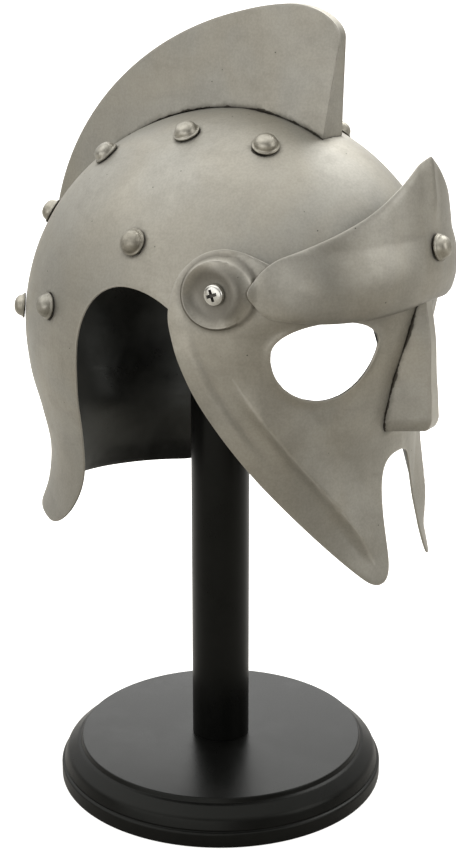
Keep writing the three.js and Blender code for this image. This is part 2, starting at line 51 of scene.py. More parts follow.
mm = 0.001
seatGap = 0.4  # clearance between pieces that touch
farAway = 99.0  # distance that is stored where no edge or seam is near
helmetMiddle = (0, -18, 290)  # the curved sheets face away from here
sheet = {
    "thickness": 1.2,
    "rimStep": 0.7, "fineStep": 0.6, "foldStep": 0.8,  # spacing along lines, as shares of a sheet's own
    "clear": 0.6,  # share of the spacing that stays free beside them
    "foldSegments": 4, "foldAngle": 30,
    "rimRadius": 0.3, "rimSegments": 2, "rimAngle": 50,
    "weld": 0.01,
}


# small tools for curves and places

def placed(ahead, left, up):
    return np.stack(np.broadcast_arrays(left, -np.asarray(ahead), up), axis=-1)


def smoothStep(value, low, high):
    t = np.clip((np.asarray(value, float) - low) / (high - low), 0, 1)
    return t * t * (3 - 2 * t)


def lerp(a, b, share):
    return a + (b - a) * share


def fullTurn(count):
    return np.linspace(0, 2 * math.pi, count, endpoint=False)


def onCircle(angle):
    return np.stack([np.cos(angle), np.sin(angle)], axis=-1)


# a smooth curve through rows of (key, value)
def smoothRows(rows, at, levelStart=False):
    keys, values = np.array(rows, float).T
    last = len(keys) - 1
    before = np.maximum(np.arange(last + 1) - 1, 0)
    after = np.minimum(np.arange(last + 1) + 1, last)
    slopes = (values[after] - values[before]) / (keys[after] - keys[before])
    if levelStart:
        slopes[0] = 0
    at = np.asarray(at, float)
    i = np.clip(np.searchsorted(keys, at) - 1, 0, last - 1)
    span = keys[i + 1] - keys[i]
    t = np.clip((at - keys[i]) / span, 0, 1)
    lean = span * (slopes[i] * t * (1 - t) ** 2 - slopes[i + 1] * t * t * (1 - t))
    return lerp(values[i], values[i + 1], smoothStep(t, 0, 1)) + lean


def bezierPoints(start, leave, arrive, end, count=40):
    t = np.linspace(0, 1, count)[:, None]
    a, b, c, d = (np.array(p, float) for p in (start, leave, arrive, end))
    return a * (1 - t) ** 3 + 3 * b * t * (1 - t) ** 2 + 3 * c * t * t * (1 - t) + d * t ** 3


# a line through every third point, the two between them being its handles
def bezierRun(points):
    return np.vstack([bezierPoints(*points[i:i + 4]) for i in range(0, len(points) - 1, 3)])


# the place between two points where a signed measure turns from positive to negative
def crossing(outside, inside, measure, halvings=40):
    low = np.zeros(len(outside))
    high = np.ones(len(outside))
    for _ in range(halvings):
        middle = (low + high) / 2
        isOut = measure(lerp(outside, inside, middle[:, None])) > 0
        low = np.where(isOut, middle, low)
        high = np.where(isOut, high, middle)
    return lerp(outside, inside, low[:, None])


# meshes

def linked(name, data):
    obj = bpy.data.objects.new(name, data)
    bpy.context.scene.collection.objects.link(obj)
    return obj


def meshObject(name, places, faces):
    mesh = bpy.data.meshes.new(name)
    mesh.from_pydata((np.asarray(places, float) * mm).tolist(), [], [list(f) for f in faces])
    mesh.validate()
    mesh.polygons.foreach_set("use_smooth", [True] * len(mesh.polygons))
    return linked(name, mesh)


def placesOf(obj):  # in metres
    return np.array([v.co for v in obj.data.vertices])


# turns a sheet's faces so that they look away from a point
def faceOutwards(obj, middle):
    mesh = obj.data
    inside = Vector(middle) * mm
    lean = sum(p.normal.dot(p.center - inside) * p.area for p in mesh.polygons)
    if lean < 0:
        mesh.flip_normals()


# values kept on a mesh for its material
def addValues(obj, **values):
    count = len(obj.data.vertices)
    for name, value in values.items():
        attribute = obj.data.attributes.new(name, "FLOAT", "POINT")
        attribute.data.foreach_set("value", np.full(count, value, np.float32))


def nearest(points, targets):
    tree = KDTree(len(targets))
    for i, target in enumerate(targets):
        tree.insert(Vector(target), i)
    tree.balance()
    return np.array([tree.find(Vector(p))[2] for p in points])


# spreads points of an outline or an open line evenly along its length in space
def evenly(points, spacing, surface, closed=True, fewest=12):
    line = np.vstack([points, points[:1]]) if closed else points
    steps = np.linalg.norm(np.diff(surface(line, 0.0), axis=0), axis=1)
    along = np.concatenate([[0], np.cumsum(steps)])
    count = max(int(round(along[-1] / spacing)), fewest)
    at = np.linspace(0, along[-1], count, endpoint=not closed)
    return np.stack([np.interp(at, along, line[:, k]) for k in range(2)], axis=1)


# rounds the corners of an evenly spread outline, over a number of points each way
def softCorners(loop, reach):
    shifts = np.arange(-2 * reach, 2 * reach + 1)
    weights = np.exp(-(shifts / reach) ** 2)
    turned = [np.roll(loop, shift, axis=0) * weight for shift, weight in zip(shifts, weights)]
    return np.sum(turned, axis=0) / weights.sum()


def insideLoop(points, loop):
    result = np.zeros(len(points), bool)
    x, y = points.T
    for (ax, ay), (bx, by) in zip(loop, np.roll(loop, -1, axis=0)):
        if ay == by:
            continue
        crosses = (ay > y) != (by > y)
        result ^= crosses & (x < (bx - ax) * (y - ay) / (by - ay) + ax)
    return result


# within the first loop and outside the holes, which are the others
def insideSheet(points, loops):
    result = insideLoop(points, loops[0])
    for hole in loops[1:]:
        result &= ~insideLoop(points, hole)
    return result


# fills a flat outline with holes, and gives the flat points and the triangles; creases become edges
def fillOutline(loops, inner, spacing, surface, creases=()):
    lines = [*loops, *creases]
    onLines = np.vstack([surface(line, 0.0) for line in lines])
    inner = inner[insideSheet(inner, loops)]
    inner = inner[nearest(surface(inner, 0.0), onLines) > spacing * sheet["clear"]]
    edges = []
    start = 0
    for i, line in enumerate(lines):
        count = len(line)
        edges += [(start + k, start + k + 1) for k in range(count - 1)]
        if i < len(loops):
            edges.append((start + count - 1, start))
        start += count
    points = [Vector(p) for p in np.vstack([*lines, inner])]
    insideOutline, tolerance = 1, 1e-9
    flat, _, faces = delaunay_2d_cdt(points, edges, [], insideOutline, tolerance)[:3]
    flat = np.array([tuple(p) for p in flat])
    solid = insideSheet(flat[np.array(faces)].mean(1), loops)
    return flat, [face for face, kept in zip(faces, solid) if kept]


# a run of quads over a grid of places, rows by columns
def gridFaces(rows, columns, start=0):
    faces = []
    for r in range(rows - 1):
        for c in range(columns - 1):
            a = start + r * columns + c
            faces.append((a, a + 1, a + columns + 1, a + columns))
    return faces


def mergeDoubles(obj, turnFaces=False):
    work = bmesh.new()
    work.from_mesh(obj.data)
    bmesh.ops.remove_doubles(work, verts=work.verts, dist=sheet["weld"] * mm)
    if turnFaces:
        bmesh.ops.recalc_face_normals(work, faces=work.faces)
    work.to_mesh(obj.data)
    work.free()


# rounds what is sharper than an angle
def soften(obj, name, radius, segments, angle):
    bevel = obj.modifiers.new(name, "BEVEL")
    bevel.width = radius * mm
    bevel.segments = segments
    bevel.limit_method = "ANGLE"
    bevel.angle_limit = math.radians(angle)


# gives a sheet its folds, its thickness and its soft rim
def thicken(obj, foldRadius):
    if foldRadius:
        soften(obj, "folds", foldRadius, sheet["foldSegments"], sheet["foldAngle"])
    wall = obj.modifiers.new("sheet", "SOLIDIFY")
    wall.thickness = sheet["thickness"] * mm
    wall.offset = -1
    wall.use_even_offset = True
    wall.thickness_clamp = 1
    wall.material_offset = 1
    soften(obj, "rim", sheet["rimRadius"], sheet["rimSegments"], sheet["rimAngle"])


def finishPiece(obj, body, nodes, materials):
    obj.data.materials.clear()
    for material in materials:
        obj.data.materials.append(material)
    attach(obj, body)
    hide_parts(*nodes)


# a sheet of steel, painted black on its inner side
def finishSheet(obj, middle, body, node, material, foldRadius=0.0):
    faceOutwards(obj, middle)
    thicken(obj, foldRadius)
    finishPiece(obj, body, [node], [material, innerPaint])


# node tools

def setInputs(tree, node, inputs):
    for key, value in inputs.items():
        if isinstance(value, bpy.types.NodeSocket):
            tree.links.new(value, node.inputs[key])
        else:
            node.inputs[key].default_value = value


def put(tree, kind, settings=None, inputs=None):
    node = tree.nodes.new(kind)
    for key, value in (settings or {}).items():
        setattr(node, key, value)
    setInputs(tree, node, inputs or {})
    return node


def calc(tree, operation, a, b=None, clamp=False):
    inputs = {0: a} if b is None else {0: a, 1: b}
    settings = {"operation": operation, "use_clamp": clamp}
    return put(tree, "ShaderNodeMath", settings, inputs).outputs[0]


def times(tree, a, b):
    return calc(tree, "MULTIPLY", a, b)


def plus(tree, a, b):
    return calc(tree, "ADD", a, b)


def ramp(tree, value, low, high, toLow=0.0, toHigh=1.0):
    inputs = {"Value": value, "From Min": low, "From Max": high, "To Min": toLow, "To Max": toHigh}
    return put(tree, "ShaderNodeMapRange", {"interpolation_type": "SMOOTHSTEP"}, inputs).outputs[0]


def mixColours(tree, factor, a, b, blend="MIX"):
    settings = {"data_type": "RGBA", "blend_type": blend}
    return put(tree, "ShaderNodeMix", settings, {0: factor, 6: a, 7: b}).outputs[2]


def noiseField(tree, place, scale, detail, roughness, distortion=0.0):
    inputs = {"Vector": place, "Scale": scale, "Detail": detail, "Roughness": roughness,
              "Distortion": distortion}
    return put(tree, "ShaderNodeTexNoise", {}, inputs).outputs[0]


def combined(tree, x, y, z):
    return put(tree, "ShaderNodeCombineXYZ", {}, {0: x, 1: y, 2: z}).outputs[0]


def stretched(tree, place, factors):
    return put(tree, "ShaderNodeVectorMath", {"operation": "MULTIPLY"}, {0: place, 1: factors}).outputs[0]


def alongDirection(tree, place, direction):
    settings = {"operation": "DOT_PRODUCT"}
    return put(tree, "ShaderNodeVectorMath", settings, {0: place, 1: direction}).outputs["Value"]


# a node group from inputs (name, kind, value) and outputs (name, kind), with their sockets inside it
def nodeGroup(name, kind, inputs, outputs):
    group = bpy.data.node_groups.new(name, kind)
    for socketName, socketKind, value in inputs:
        socket = group.interface.new_socket(name=socketName, in_out="INPUT", socket_type=socketKind)
        if value is not None:
            socket.default_value = value
    for socketName, socketKind in outputs:
        group.interface.new_socket(name=socketName, in_out="OUTPUT", socket_type=socketKind)
    return group, group.nodes.new("NodeGroupInput").outputs, group.nodes.new("NodeGroupOutput").inputs


# effects that the materials share

def shaderGroup(name, numbers, outputs):
    inputs = [("Place", "NodeSocketVector", (0, 0, 0))]
    inputs += [(key, "NodeSocketFloat", value) for key, value in numbers.items()]
    return nodeGroup(name, "ShaderNodeTree", inputs, [(key, "NodeSocketFloat") for key in outputs])


handFinishLook = {
    # detail, roughness and distortion of each noise
    "cloudNoise": (4, 0.55, 0.6), "fineNoise": (5, 0.62, 0.3), "scratchNoise": (3, 0.7),
    "grainNoise": (3, 0.65), "smudgeNoise": (6, 0.66, 0.9),
    # the part of each noise's range that shows
    "cloudLevels": (0.36, 0.64), "scratchLevels": (0.32, 0.68), "grainLevels": (0.3, 0.7),
    "smudgeLevels": (0.48, 0.72),
    "fineTimes": 5.3, "fineShare": 0.32,  # finer clouds in the broad ones
    "smudgeStretch": (1.0, 1.0, 3.4),
    "scratchHeight": 0.25,
}


# broad clouding of hand-finished metal, fine scratches along one direction, sandy grain, wiped smudges
def makeHandFinish(look):
    group, given, result = shaderGroup(
        "handFinish",
        {"Cloud Scale": 18, "Scratch Scale": 260, "Scratch Stretch": 0.06, "Grain Scale": 760,
         "Smudge Scale": 30},
        ["Cloud", "Scratch", "Grain", "Smudge", "Height"])
    place = given["Place"]
    broad = noiseField(group, place, given["Cloud Scale"], *look["cloudNoise"])
    fineScale = times(group, given["Cloud Scale"], look["fineTimes"])
    fine = noiseField(group, place, fineScale, *look["fineNoise"])
    cloud = plus(group, times(group, broad, 1 - look["fineShare"]), times(group, fine, look["fineShare"]))
    drawn = stretched(group, place, combined(group, 1.0, 1.0, given["Scratch Stretch"]))
    scratch = noiseField(group, drawn, given["Scratch Scale"], *look["scratchNoise"])
    grain = noiseField(group, place, given["Grain Scale"], *look["grainNoise"])
    wiped = stretched(group, place, look["smudgeStretch"])
    smudge = noiseField(group, wiped, given["Smudge Scale"], *look["smudgeNoise"])
    for name, value in (("Cloud", cloud), ("Scratch", scratch), ("Grain", grain), ("Smudge", smudge)):
        group.links.new(ramp(group, value, *look[name.lower() + "Levels"]), result[name])
    height = plus(group, times(group, scratch, look["scratchHeight"]),
                  times(group, broad, 1 - look["scratchHeight"]))
    group.links.new(height, result["Height"])
    return group


specksLook = {
    "softEdge": 1.7,  # outer size of a speck's edge, over the inner
    "patchScale": 32, "patchNoise": (2, 0.5),
    "cellShare": 0.5, "patchShare": 0.6,  # what decides whether a cell has a speck
    "limit": 0.82, "coverageShare": 0.5,
}


# tiny pits and specks scattered over a surface
def makeSpecks(look):
    group, given, result = shaderGroup(
        "specks", {"Speck Scale": 170, "Speck Size": 0.045, "Coverage": 0.22}, ["Speck"])
    cells = put(group, "ShaderNodeTexVoronoi", {"feature": "F1"},
                {"Vector": given["Place"], "Scale": given["Speck Scale"], "Randomness": 1.0}).outputs
    edge = times(group, given["Speck Size"], look["softEdge"])
    dot = ramp(group, cells["Distance"], given["Speck Size"], edge, 1.0, 0.0)
    patches = noiseField(group, given["Place"], look["patchScale"], *look["patchNoise"])
    someCells = put(group, "ShaderNodeSeparateColor", {}, {0: cells["Color"]}).outputs[0]
    chance = plus(group, times(group, someCells, look["cellShare"]),
                  times(group, patches, look["patchShare"]))
    limit = calc(group, "SUBTRACT", look["limit"], times(group, given["Coverage"], look["coverageShare"]))
    chosen = calc(group, "GREATER_THAN", chance, limit)
    group.links.new(times(group, dot, chosen), result["Speck"])
    return group


edgeAgeLook = {
    "raggedScale": 140, "raggedNoise": (4, 0.6),
    "raggedLevels": (0.25, 0.75, 0.35, 1.3),  # noise from, to; share of the width from, to
    "dirtFade": 1.6,
    "crackScale": 75, "crackNoise": (5, 0.68),
    "crackLevels": (0.42, 0.70, 0.02, 0.45),
    "crackEdge": (0.55, 1.0, 1.0, 0.0),
}


# rubbed bright edges, dull dirt in the seams and black cracks along them, from distances on the mesh
def makeEdgeAge(look):
    group, given, result = shaderGroup(
        "edgeAge",
        {"Edge Distance": farAway, "Seam Distance": farAway, "Wear Width": 2.0, "Dirt Width": 5.0},
        ["Wear", "Dirt", "Crack"])
    ragged = noiseField(group, given["Place"], look["raggedScale"], *look["raggedNoise"])
    uneven = ramp(group, ragged, *look["raggedLevels"])

    def closeness(distance, width):
        share = calc(group, "DIVIDE", distance, times(group, width, uneven))
        return calc(group, "SUBTRACT", 1.0, share, True)

    group.links.new(closeness(given["Edge Distance"], given["Wear Width"]), result["Wear"])
    dirt = closeness(given["Seam Distance"], given["Dirt Width"])
    group.links.new(calc(group, "POWER", dirt, look["dirtFade"]), result["Dirt"])
    torn = noiseField(group, given["Place"], look["crackScale"], *look["crackNoise"])
    crackSpan = times(group, given["Dirt Width"], ramp(group, torn, *look["crackLevels"]))
    inCrack = calc(group, "DIVIDE", given["Seam Distance"], crackSpan)
    group.links.new(ramp(group, inCrack, *look["crackEdge"]), result["Crack"])
    return group


handFinish = makeHandFinish(handFinishLook)
specks = makeSpecks(specksLook)
edgeAge = makeEdgeAge(edgeAgeLook)


# materials

def newMaterial(name):
    material = bpy.data.materials.new(name)
    material.use_nodes = True
    tree = material.node_tree
    tree.nodes.clear()
    shader = put(tree, "ShaderNodeBsdfPrincipled")
    put(tree, "ShaderNodeOutputMaterial", {}, {0: shader.outputs[0]})
    place = put(tree, "ShaderNodeTexCoord").outputs["Object"]
    return material, tree, shader, place


def useGroup(tree, group, inputs):
    return put(tree, "ShaderNodeGroup", {"node_tree": group}, inputs).outputs


def meshValue(tree, name):
    return put(tree, "ShaderNodeAttribute", {"attribute_name": name}).outputs["Fac"]


steelLook = {
    "dark": (0.334, 0.321, 0.282, 1), "light": (0.362, 0.348, 0.306, 1),
    # the dirt colour is also the colour that the painted shade darkens towards
    "dirt": (0.050, 0.044, 0.035, 1), "worn": (0.480, 0.458, 0.410, 1),
    "coolTint": (0.993, 1.0, 1.012, 1), "warmTint": (1.012, 0.998, 0.975, 1),
    "heatScale": 13, "heatNoise": (2, 0.5, 1.2), "heatLevels": (0.35, 0.65),
    "cloudScale": 23, "roughest": 0.57, "smoothest": 0.53,
    "grain": 0.045,
    # how much of each shows over the colour; paintedShade is painted shade that darkens hollows, recesses and
    # lower edges
    "smudges": 0.09, "scratches": 0.035, "wear": 0.4, "seamDirt": 0.45, "cracks": 0.9, "paintedShade": 0.25,
    "pits": 0.75,
    # what each adds to the roughness
    "scratchRough": -0.025, "dirtRough": 0.2, "wearRough": -0.08, "pitRough": 0.25,
    "wearWidth": 1.6, "dirtWidth": 4.0,
    "dents": 0.00012, "dentStrength": 0.55, "pitDepth": 0.25,
}


def makeSteel(name, look):
    material, tree, shader, place = newMaterial(name)
    finish = useGroup(tree, handFinish, {"Place": place, "Cloud Scale": look["cloudScale"]})
    pit = useGroup(tree, specks, {"Place": place})["Speck"]
    age = useGroup(tree, edgeAge, {
        "Place": place, "Edge Distance": meshValue(tree, "edgeDistance"),
        "Seam Distance": meshValue(tree, "seamDistance"), "Wear Width": look["wearWidth"],
        "Dirt Width": look["dirtWidth"]})
    heatNoise = noiseField(tree, place, look["heatScale"], *look["heatNoise"])
    heat = mixColours(tree, ramp(tree, heatNoise, *look["heatLevels"]), look["coolTint"], look["warmTint"])
    sandy = ramp(tree, finish["Grain"], 0, 1, 1 - look["grain"], 1 + look["grain"])
    colour = mixColours(tree, finish["Cloud"], look["dark"], look["light"])
    colour = mixColours(tree, 1.0, colour, heat, "MULTIPLY")
    colour = mixColours(tree, times(tree, finish["Smudge"], look["smudges"]), colour, look["dirt"])
    colour = mixColours(tree, 1.0, colour, sandy, "MULTIPLY")
    layers = [
        (finish["Scratch"], "scratches", "worn"), (age["Wear"], "wear", "worn"),
        (age["Dirt"], "seamDirt", "dirt"), (age["Crack"], "cracks", "dirt"),
        # painted shade from the shade values kept on the mesh, darkening towards the dirt colour
        (meshValue(tree, "hollow"), "paintedShade", "dirt"), (pit, "pits", "dirt"),
    ]
    for cover, amount, tint in layers:
        colour = mixColours(tree, times(tree, cover, look[amount]), colour, look[tint])
    rough = ramp(tree, finish["Cloud"], 0, 1, look["roughest"], look["smoothest"])
    for cover, amount in ((finish["Scratch"], "scratchRough"), (age["Dirt"], "dirtRough"),
                          (age["Wear"], "wearRough"), (pit, "pitRough")):
        rough = plus(tree, rough, times(tree, cover, look[amount]))
    height = calc(tree, "SUBTRACT", finish["Height"], times(tree, pit, look["pitDepth"]))
    bump = put(tree, "ShaderNodeBump", {},
               {"Strength": look["dentStrength"], "Distance": look["dents"], "Height": height})
    setInputs(tree, shader, {
        "Base Color": colour, "Roughness": rough, "Normal": bump.outputs[0], "Metallic": 1.0})
    return material


paintLook = {
    "deep": (0.0065, 0.0065, 0.0061, 1), "dusty": (0.0125, 0.0125, 0.0115, 1),
    "roughest": 0.36, "smoothest": 0.27,
    "specular": 0.56, "sheenTint": (0.98, 1.0, 0.93, 1),
    "mottle": 0.05,  # change of roughness from grain to grain
    "cloudScale": 30, "brushScale": 420, "brushStretch": 0.05,
    "brushMarks": 0.000006, "dents": 0.0008,  # heights in metres
    "dentScale": 20, "dentNoise": (2, 0.5, 0.8), "dentStretch": (1.0, 1.0, 1.6),
}


# satin black paint, inside the helmet and on the stand
def makePaint(name, look):
    material, tree, shader, place = newMaterial(name)
    finish = useGroup(tree, handFinish, {
        "Place": place, "Cloud Scale": look["cloudScale"], "Scratch Scale": look["brushScale"],
        "Scratch Stretch": look["brushStretch"]})
    colour = mixColours(tree, finish["Cloud"], look["deep"], look["dusty"])
    rough = ramp(tree, finish["Cloud"], 0, 1, look["smoothest"], look["roughest"])
    rough = plus(tree, rough, times(tree, finish["Grain"], look["mottle"]))
    level = stretched(tree, place, look["dentStretch"])
    dented = noiseField(tree, level, look["dentScale"], *look["dentNoise"])
    height = plus(tree, times(tree, finish["Scratch"], look["brushMarks"]),
                  times(tree, dented, look["dents"]))
    bump = put(tree, "ShaderNodeBump", {}, {"Strength": 1.0, "Distance": 1.0, "Height": height})
    setInputs(tree, shader, {
        "Base Color": colour, "Roughness": rough, "Normal": bump.outputs[0],
        "Specular IOR Level": look["specular"], "Specular Tint": look["sheenTint"]})
    return material


# steel for the mask, brow and nose guards, with stronger painted shade in its hollows
maskLook = {
    **steelLook, "dark": (0.310, 0.296, 0.257, 1), "light": (0.376, 0.360, 0.315, 1), "cloudScale": 16,
    "roughest": 0.52, "smoothest": 0.47, "paintedShade": 0.42,
}
studLook = {
    **steelLook, "dark": (0.26, 0.246, 0.208, 1), "light": (0.40, 0.382, 0.33, 1), "cloudScale": 60,
    "roughest": 0.52, "smoothest": 0.40, "wearWidth": 0.8, "dirtWidth": 2.4,
}
# nickel for the screws, with strong painted shade in their cross recesses
nickelLook = {
    **steelLook, "dark": (0.58, 0.57, 0.53, 1), "light": (0.74, 0.73, 0.69, 1), "cloudScale": 90,
    "roughest": 0.26, "smoothest": 0.18, "dirt": (0.020, 0.018, 0.016, 1), "paintedShade": 0.9,
}
standLook = {
    **paintLook, "deep": (0.0030, 0.0031, 0.0028, 1), "dusty": (0.0048, 0.0048, 0.0044, 1),
    "smoothest": 0.27, "roughest": 0.31, "specular": 0.15, "cloudScale": 24,
    "brushMarks": 0.000002, "dents": 0.00004,
}
steel = makeSteel("satinSteel", steelLook)
maskSteel = makeSteel("maskSteel", maskLook)
studSteel = makeSteel("studSteel", studLook)
nickel = makeSteel("nickelPlate", nickelLook)
innerPaint = makePaint("innerBlackPaint", paintLook)
standPaint = makePaint("standBlackPaint", standLook)
print("materials made")


# skull with its neck guard

skull = {
    "front": 122, "back": 141, "side": 103, "rise": 130,
    "centreAhead": 18, "equator": 283,
    "neckTuck": [(0, 0), (25, 2.5), (48, 9), (72, 14), (95, 12), (114, 5.5)],  # drop, draw-in
    # side view from the neck guard's bottom over the ear arch and temple tab to the forehead: ahead, up
    "sideEdge": [(-76, 172), (-60, 172), (-43, 190), (-39, 213), (-35, 236), (-34, 262), (-31.5, 288),
                 (-29, 312), (-14, 325.5), (3, 325.5), (20, 325.5), (31, 318), (40, 312), (46, 312),
                 (54, 312), (60, 312), (70, 312), (76, 326), (88, 342)],
    "spacing": 2.4, "arcPoints": 60,
    "girthScale": 118,  # mean radius that the flat layout of the neck guard is drawn at
    "handWork": {"wave": 34, "height": 0.35, "start": (17.3, 5.1, 9.7), "even": -70, "full": -20},
    "studSeam": 0.45,  # keeps the dirt round the studs thinner than along the crest
    "neckShade": {"amount": 0.65, "low": 190, "high": 255},  # painted shade: the neck guard gets darker from high to low
}
pivot = {"ahead": 60, "up": 328, "padRadius": 10.5, "padBlend": 20, "padFace": 97, "hole": 3}


def skullLength(plan):
    return np.where(np.cos(plan) >= 0, skull["front"], skull["back"])


def neckGirth(drop):
    return 1 - smoothRows(skull["neckTuck"], drop, levelStart=True) / skull["back"]


# the skull's surface laid flat: crown in the middle, neck guard outside the unit circle
def skullSurface(flat, out):
    radius = np.hypot(flat[:, 0], flat[:, 1])
    plan = np.arctan2(flat[:, 1], flat[:, 0])
    isDome = radius <= 1
    polar = np.where(isDome, 2 * np.arctan(radius), math.pi / 2)
    drop = np.where(isDome, 0, skull["girthScale"] * np.log(np.maximum(radius, 1)))
    girth = np.where(isDome, np.sin(polar), neckGirth(drop))
    wall = np.sin(polar)
    ahead = skull["centreAhead"] + (skullLength(plan) * girth + out * wall) * np.cos(plan)
    left = (skull["side"] * girth + out * wall) * np.sin(plan)
    up = skull["equator"] + skull["rise"] * np.cos(polar) - drop + out * np.cos(polar)
    return placed(ahead, left, up)


# flat radius and share of the full girth at a height
def skullLevel(up):
    above = np.asarray(up, float) - skull["equator"]
    polar = np.arccos(np.clip(above / skull["rise"], 0, 1))
    drop = np.maximum(-above, 0)
    radius = np.where(above >= 0, np.tan(polar / 2), np.exp(drop / skull["girthScale"]))
    return radius, np.where(above >= 0, np.sin(polar), neckGirth(drop))


# flat points of the left side from their side view
def skullFlat(ahead, up):
    radius, girth = skullLevel(up)
    forward = np.asarray(ahead, float) - skull["centreAhead"]
    length = np.where(forward >= 0, skull["front"], skull["back"])
    plan = np.arccos(np.clip(forward / (length * girth), -1, 1))
    return radius[:, None] * onCircle(plan)


def skullEdge():
    side = bezierRun(skull["sideEdge"])
    flat = skullFlat(*side.T)
    backPlan, frontPlan = np.arctan2(flat[[0, -1], 1], flat[[0, -1], 0])
    backTurn = np.linspace(math.pi, backPlan, skull["arcPoints"], endpoint=False)
    frontTurn = np.linspace(frontPlan, 0, skull["arcPoints"])
    backRadius, frontRadius = skullLevel(side[[0, -1], 1])[0]
    half = np.vstack([backRadius * onCircle(backTurn), flat, frontRadius * onCircle(frontTurn)])
    return np.vstack([half, half[-2:0:-1] * (1, -1)])


def ringOfPoints(ahead, up, radius, count=16):
    turn = fullTurn(count)
    return ahead + radius * np.cos(turn), up + radius * np.sin(turn)


# rows of evenly spread flat points over dome and neck guard
def skullInner():
    spacing = skull["spacing"]
    meanRadius = (skull["front"] + skull["back"] + 2 * skull["side"]) / 4
    neckBottom = skull["sideEdge"][0][1]
    domeRows = int(math.pi / 2 * skull["rise"] / spacing)
    neckRows = int((skull["equator"] - neckBottom) / spacing)
    polar = np.arange(domeRows + 1) / domeRows * math.pi / 2
    drop = np.arange(1, neckRows + 1) * spacing
    rows = list(zip(np.tan(polar / 2), np.sin(polar)))
    rows += list(zip(np.exp(drop / skull["girthScale"]), neckGirth(drop)))
    points = []
    for i, (radius, girth) in enumerate(rows):
        count = max(int(2 * math.pi * meanRadius * girth / spacing), 1)
        turn = (np.arange(count) + 0.5 * (i % 2)) / count * 2 * math.pi
        points.append(radius * onCircle(turn))
    return np.vstack(points)


# places near the dome as shares of its radii
def onDome(places):
    ahead = -places[:, 1] - skull["centreAhead"]
    length = np.where(ahead >= 0, skull["front"], skull["back"])
    above = places[:, 2] - skull["equator"]
    return np.stack([ahead / length, places[:, 0] / skull["side"], above / skull["rise"]], axis=1)


# flat points of a closed line that stands on the dome, evenly spread
def domeLoop(places):
    unit = onDome(places)
    unit /= np.linalg.norm(unit, axis=1, keepdims=True)
    loop = evenly(unit[:, :2] / (1 + unit[:, 2:]), skull["spacing"] * sheet["fineStep"], skullSurface)
    return np.vstack([loop, loop[:1]])


# gentle unevenness of hand-worked sheet, which runs out under the mask
def handWorked(places, work):
    start = Vector(work["start"])
    waves = np.array([noise.noise(Vector(p) / work["wave"] + start) for p in places])
    return waves * work["height"] * smoothStep(places[:, 1], work["even"], work["full"])


def makeSkull(feet):
    edge = evenly(skullEdge(), skull["spacing"] * sheet["rimStep"], skullSurface)
    hole = skullFlat(*ringOfPoints(pivot["ahead"], pivot["up"], pivot["hole"]))
    loops = [edge, hole, hole * (1, -1)]
    creases = [domeLoop(foot) for foot in feet]
    flat, faces = fillOutline(loops, skullInner(), skull["spacing"], skullSurface, creases)
    places = skullSurface(flat, 0.0)
    toCrest = nearest(places, skullSurface(creases[0], 0.0))
    toStuds = nearest(places, skullSurface(np.vstack(creases[1:]), 0.0))
    # painted shade on the neck guard, darker towards its bottom
    paintedShade = skull["neckShade"]
    obj = meshObject("skullShell", skullSurface(flat, handWorked(places, skull["handWork"])), faces)
    addValues(obj, edgeDistance=nearest(places, skullSurface(edge, 0.0)),
              seamDistance=np.minimum(toCrest, toStuds + skull["studSeam"]),
              hollow=paintedShade["amount"] * (1 - smoothStep(places[:, 2], paintedShade["low"], paintedShade["high"])))
    finishSheet(obj, helmetMiddle, "helmet", "skull", steel)


# crest

crest = {
    "baseFront": 62, "ridgeFront": 69, "back": 163,  # angles above straight ahead
    "frontHalfWidth": 12, "backHalfWidth": 6, "ridgeHalfWidth": 3.2,
    "startShare": 1.012, "growthPerDegree": 0.0053, "cornerSpan": 13, "cornerDrop": 0.15,
    "sunk": 8, "stations": 110, "sideRows": 26, "topColumns": 4,
    "foldRadius": 1.7,
    "middle": (0, 20, 400),  # a point between its sides
}


def crestPlace(degrees, share, left):
    angle = np.radians(degrees)
    ahead = skull["centreAhead"] + skullLength(angle) * share * np.cos(angle)
    return placed(ahead, left, skull["equator"] + skull["rise"] * share * np.sin(angle))


def crestShare(degrees):
    rise = crest["startShare"] + crest["growthPerDegree"] * (crest["back"] - degrees)
    past = np.clip(1 - (degrees - crest["ridgeFront"]) / crest["cornerSpan"], 0, 1)
    return rise - crest["cornerDrop"] * (1 - np.sqrt(1 - past ** 2))


# how far a place stands outside the skull, as a share of its radius, less the seat gap
def offSkull(places):
    return np.linalg.norm(onDome(places), axis=1) - 1 - seatGap / skull["girthScale"]


# the left ridge, and the left foot where the side meets the skull
def crestSides():
    step = np.sin(np.linspace(0, math.pi / 2, crest["stations"]))
    baseAngle = lerp(crest["back"], crest["baseFront"], step)
    ridgeAngle = lerp(crest["back"], crest["ridgeFront"], step)
    halfWidth = lerp(crest["backHalfWidth"], crest["frontHalfWidth"], step)
    top = crestPlace(ridgeAngle, crestShare(ridgeAngle), crest["ridgeHalfWidth"])
    deep = crestPlace(baseAngle, 1 - crest["sunk"] / skull["rise"], halfWidth)
    return top, crossing(top, deep, offSkull)


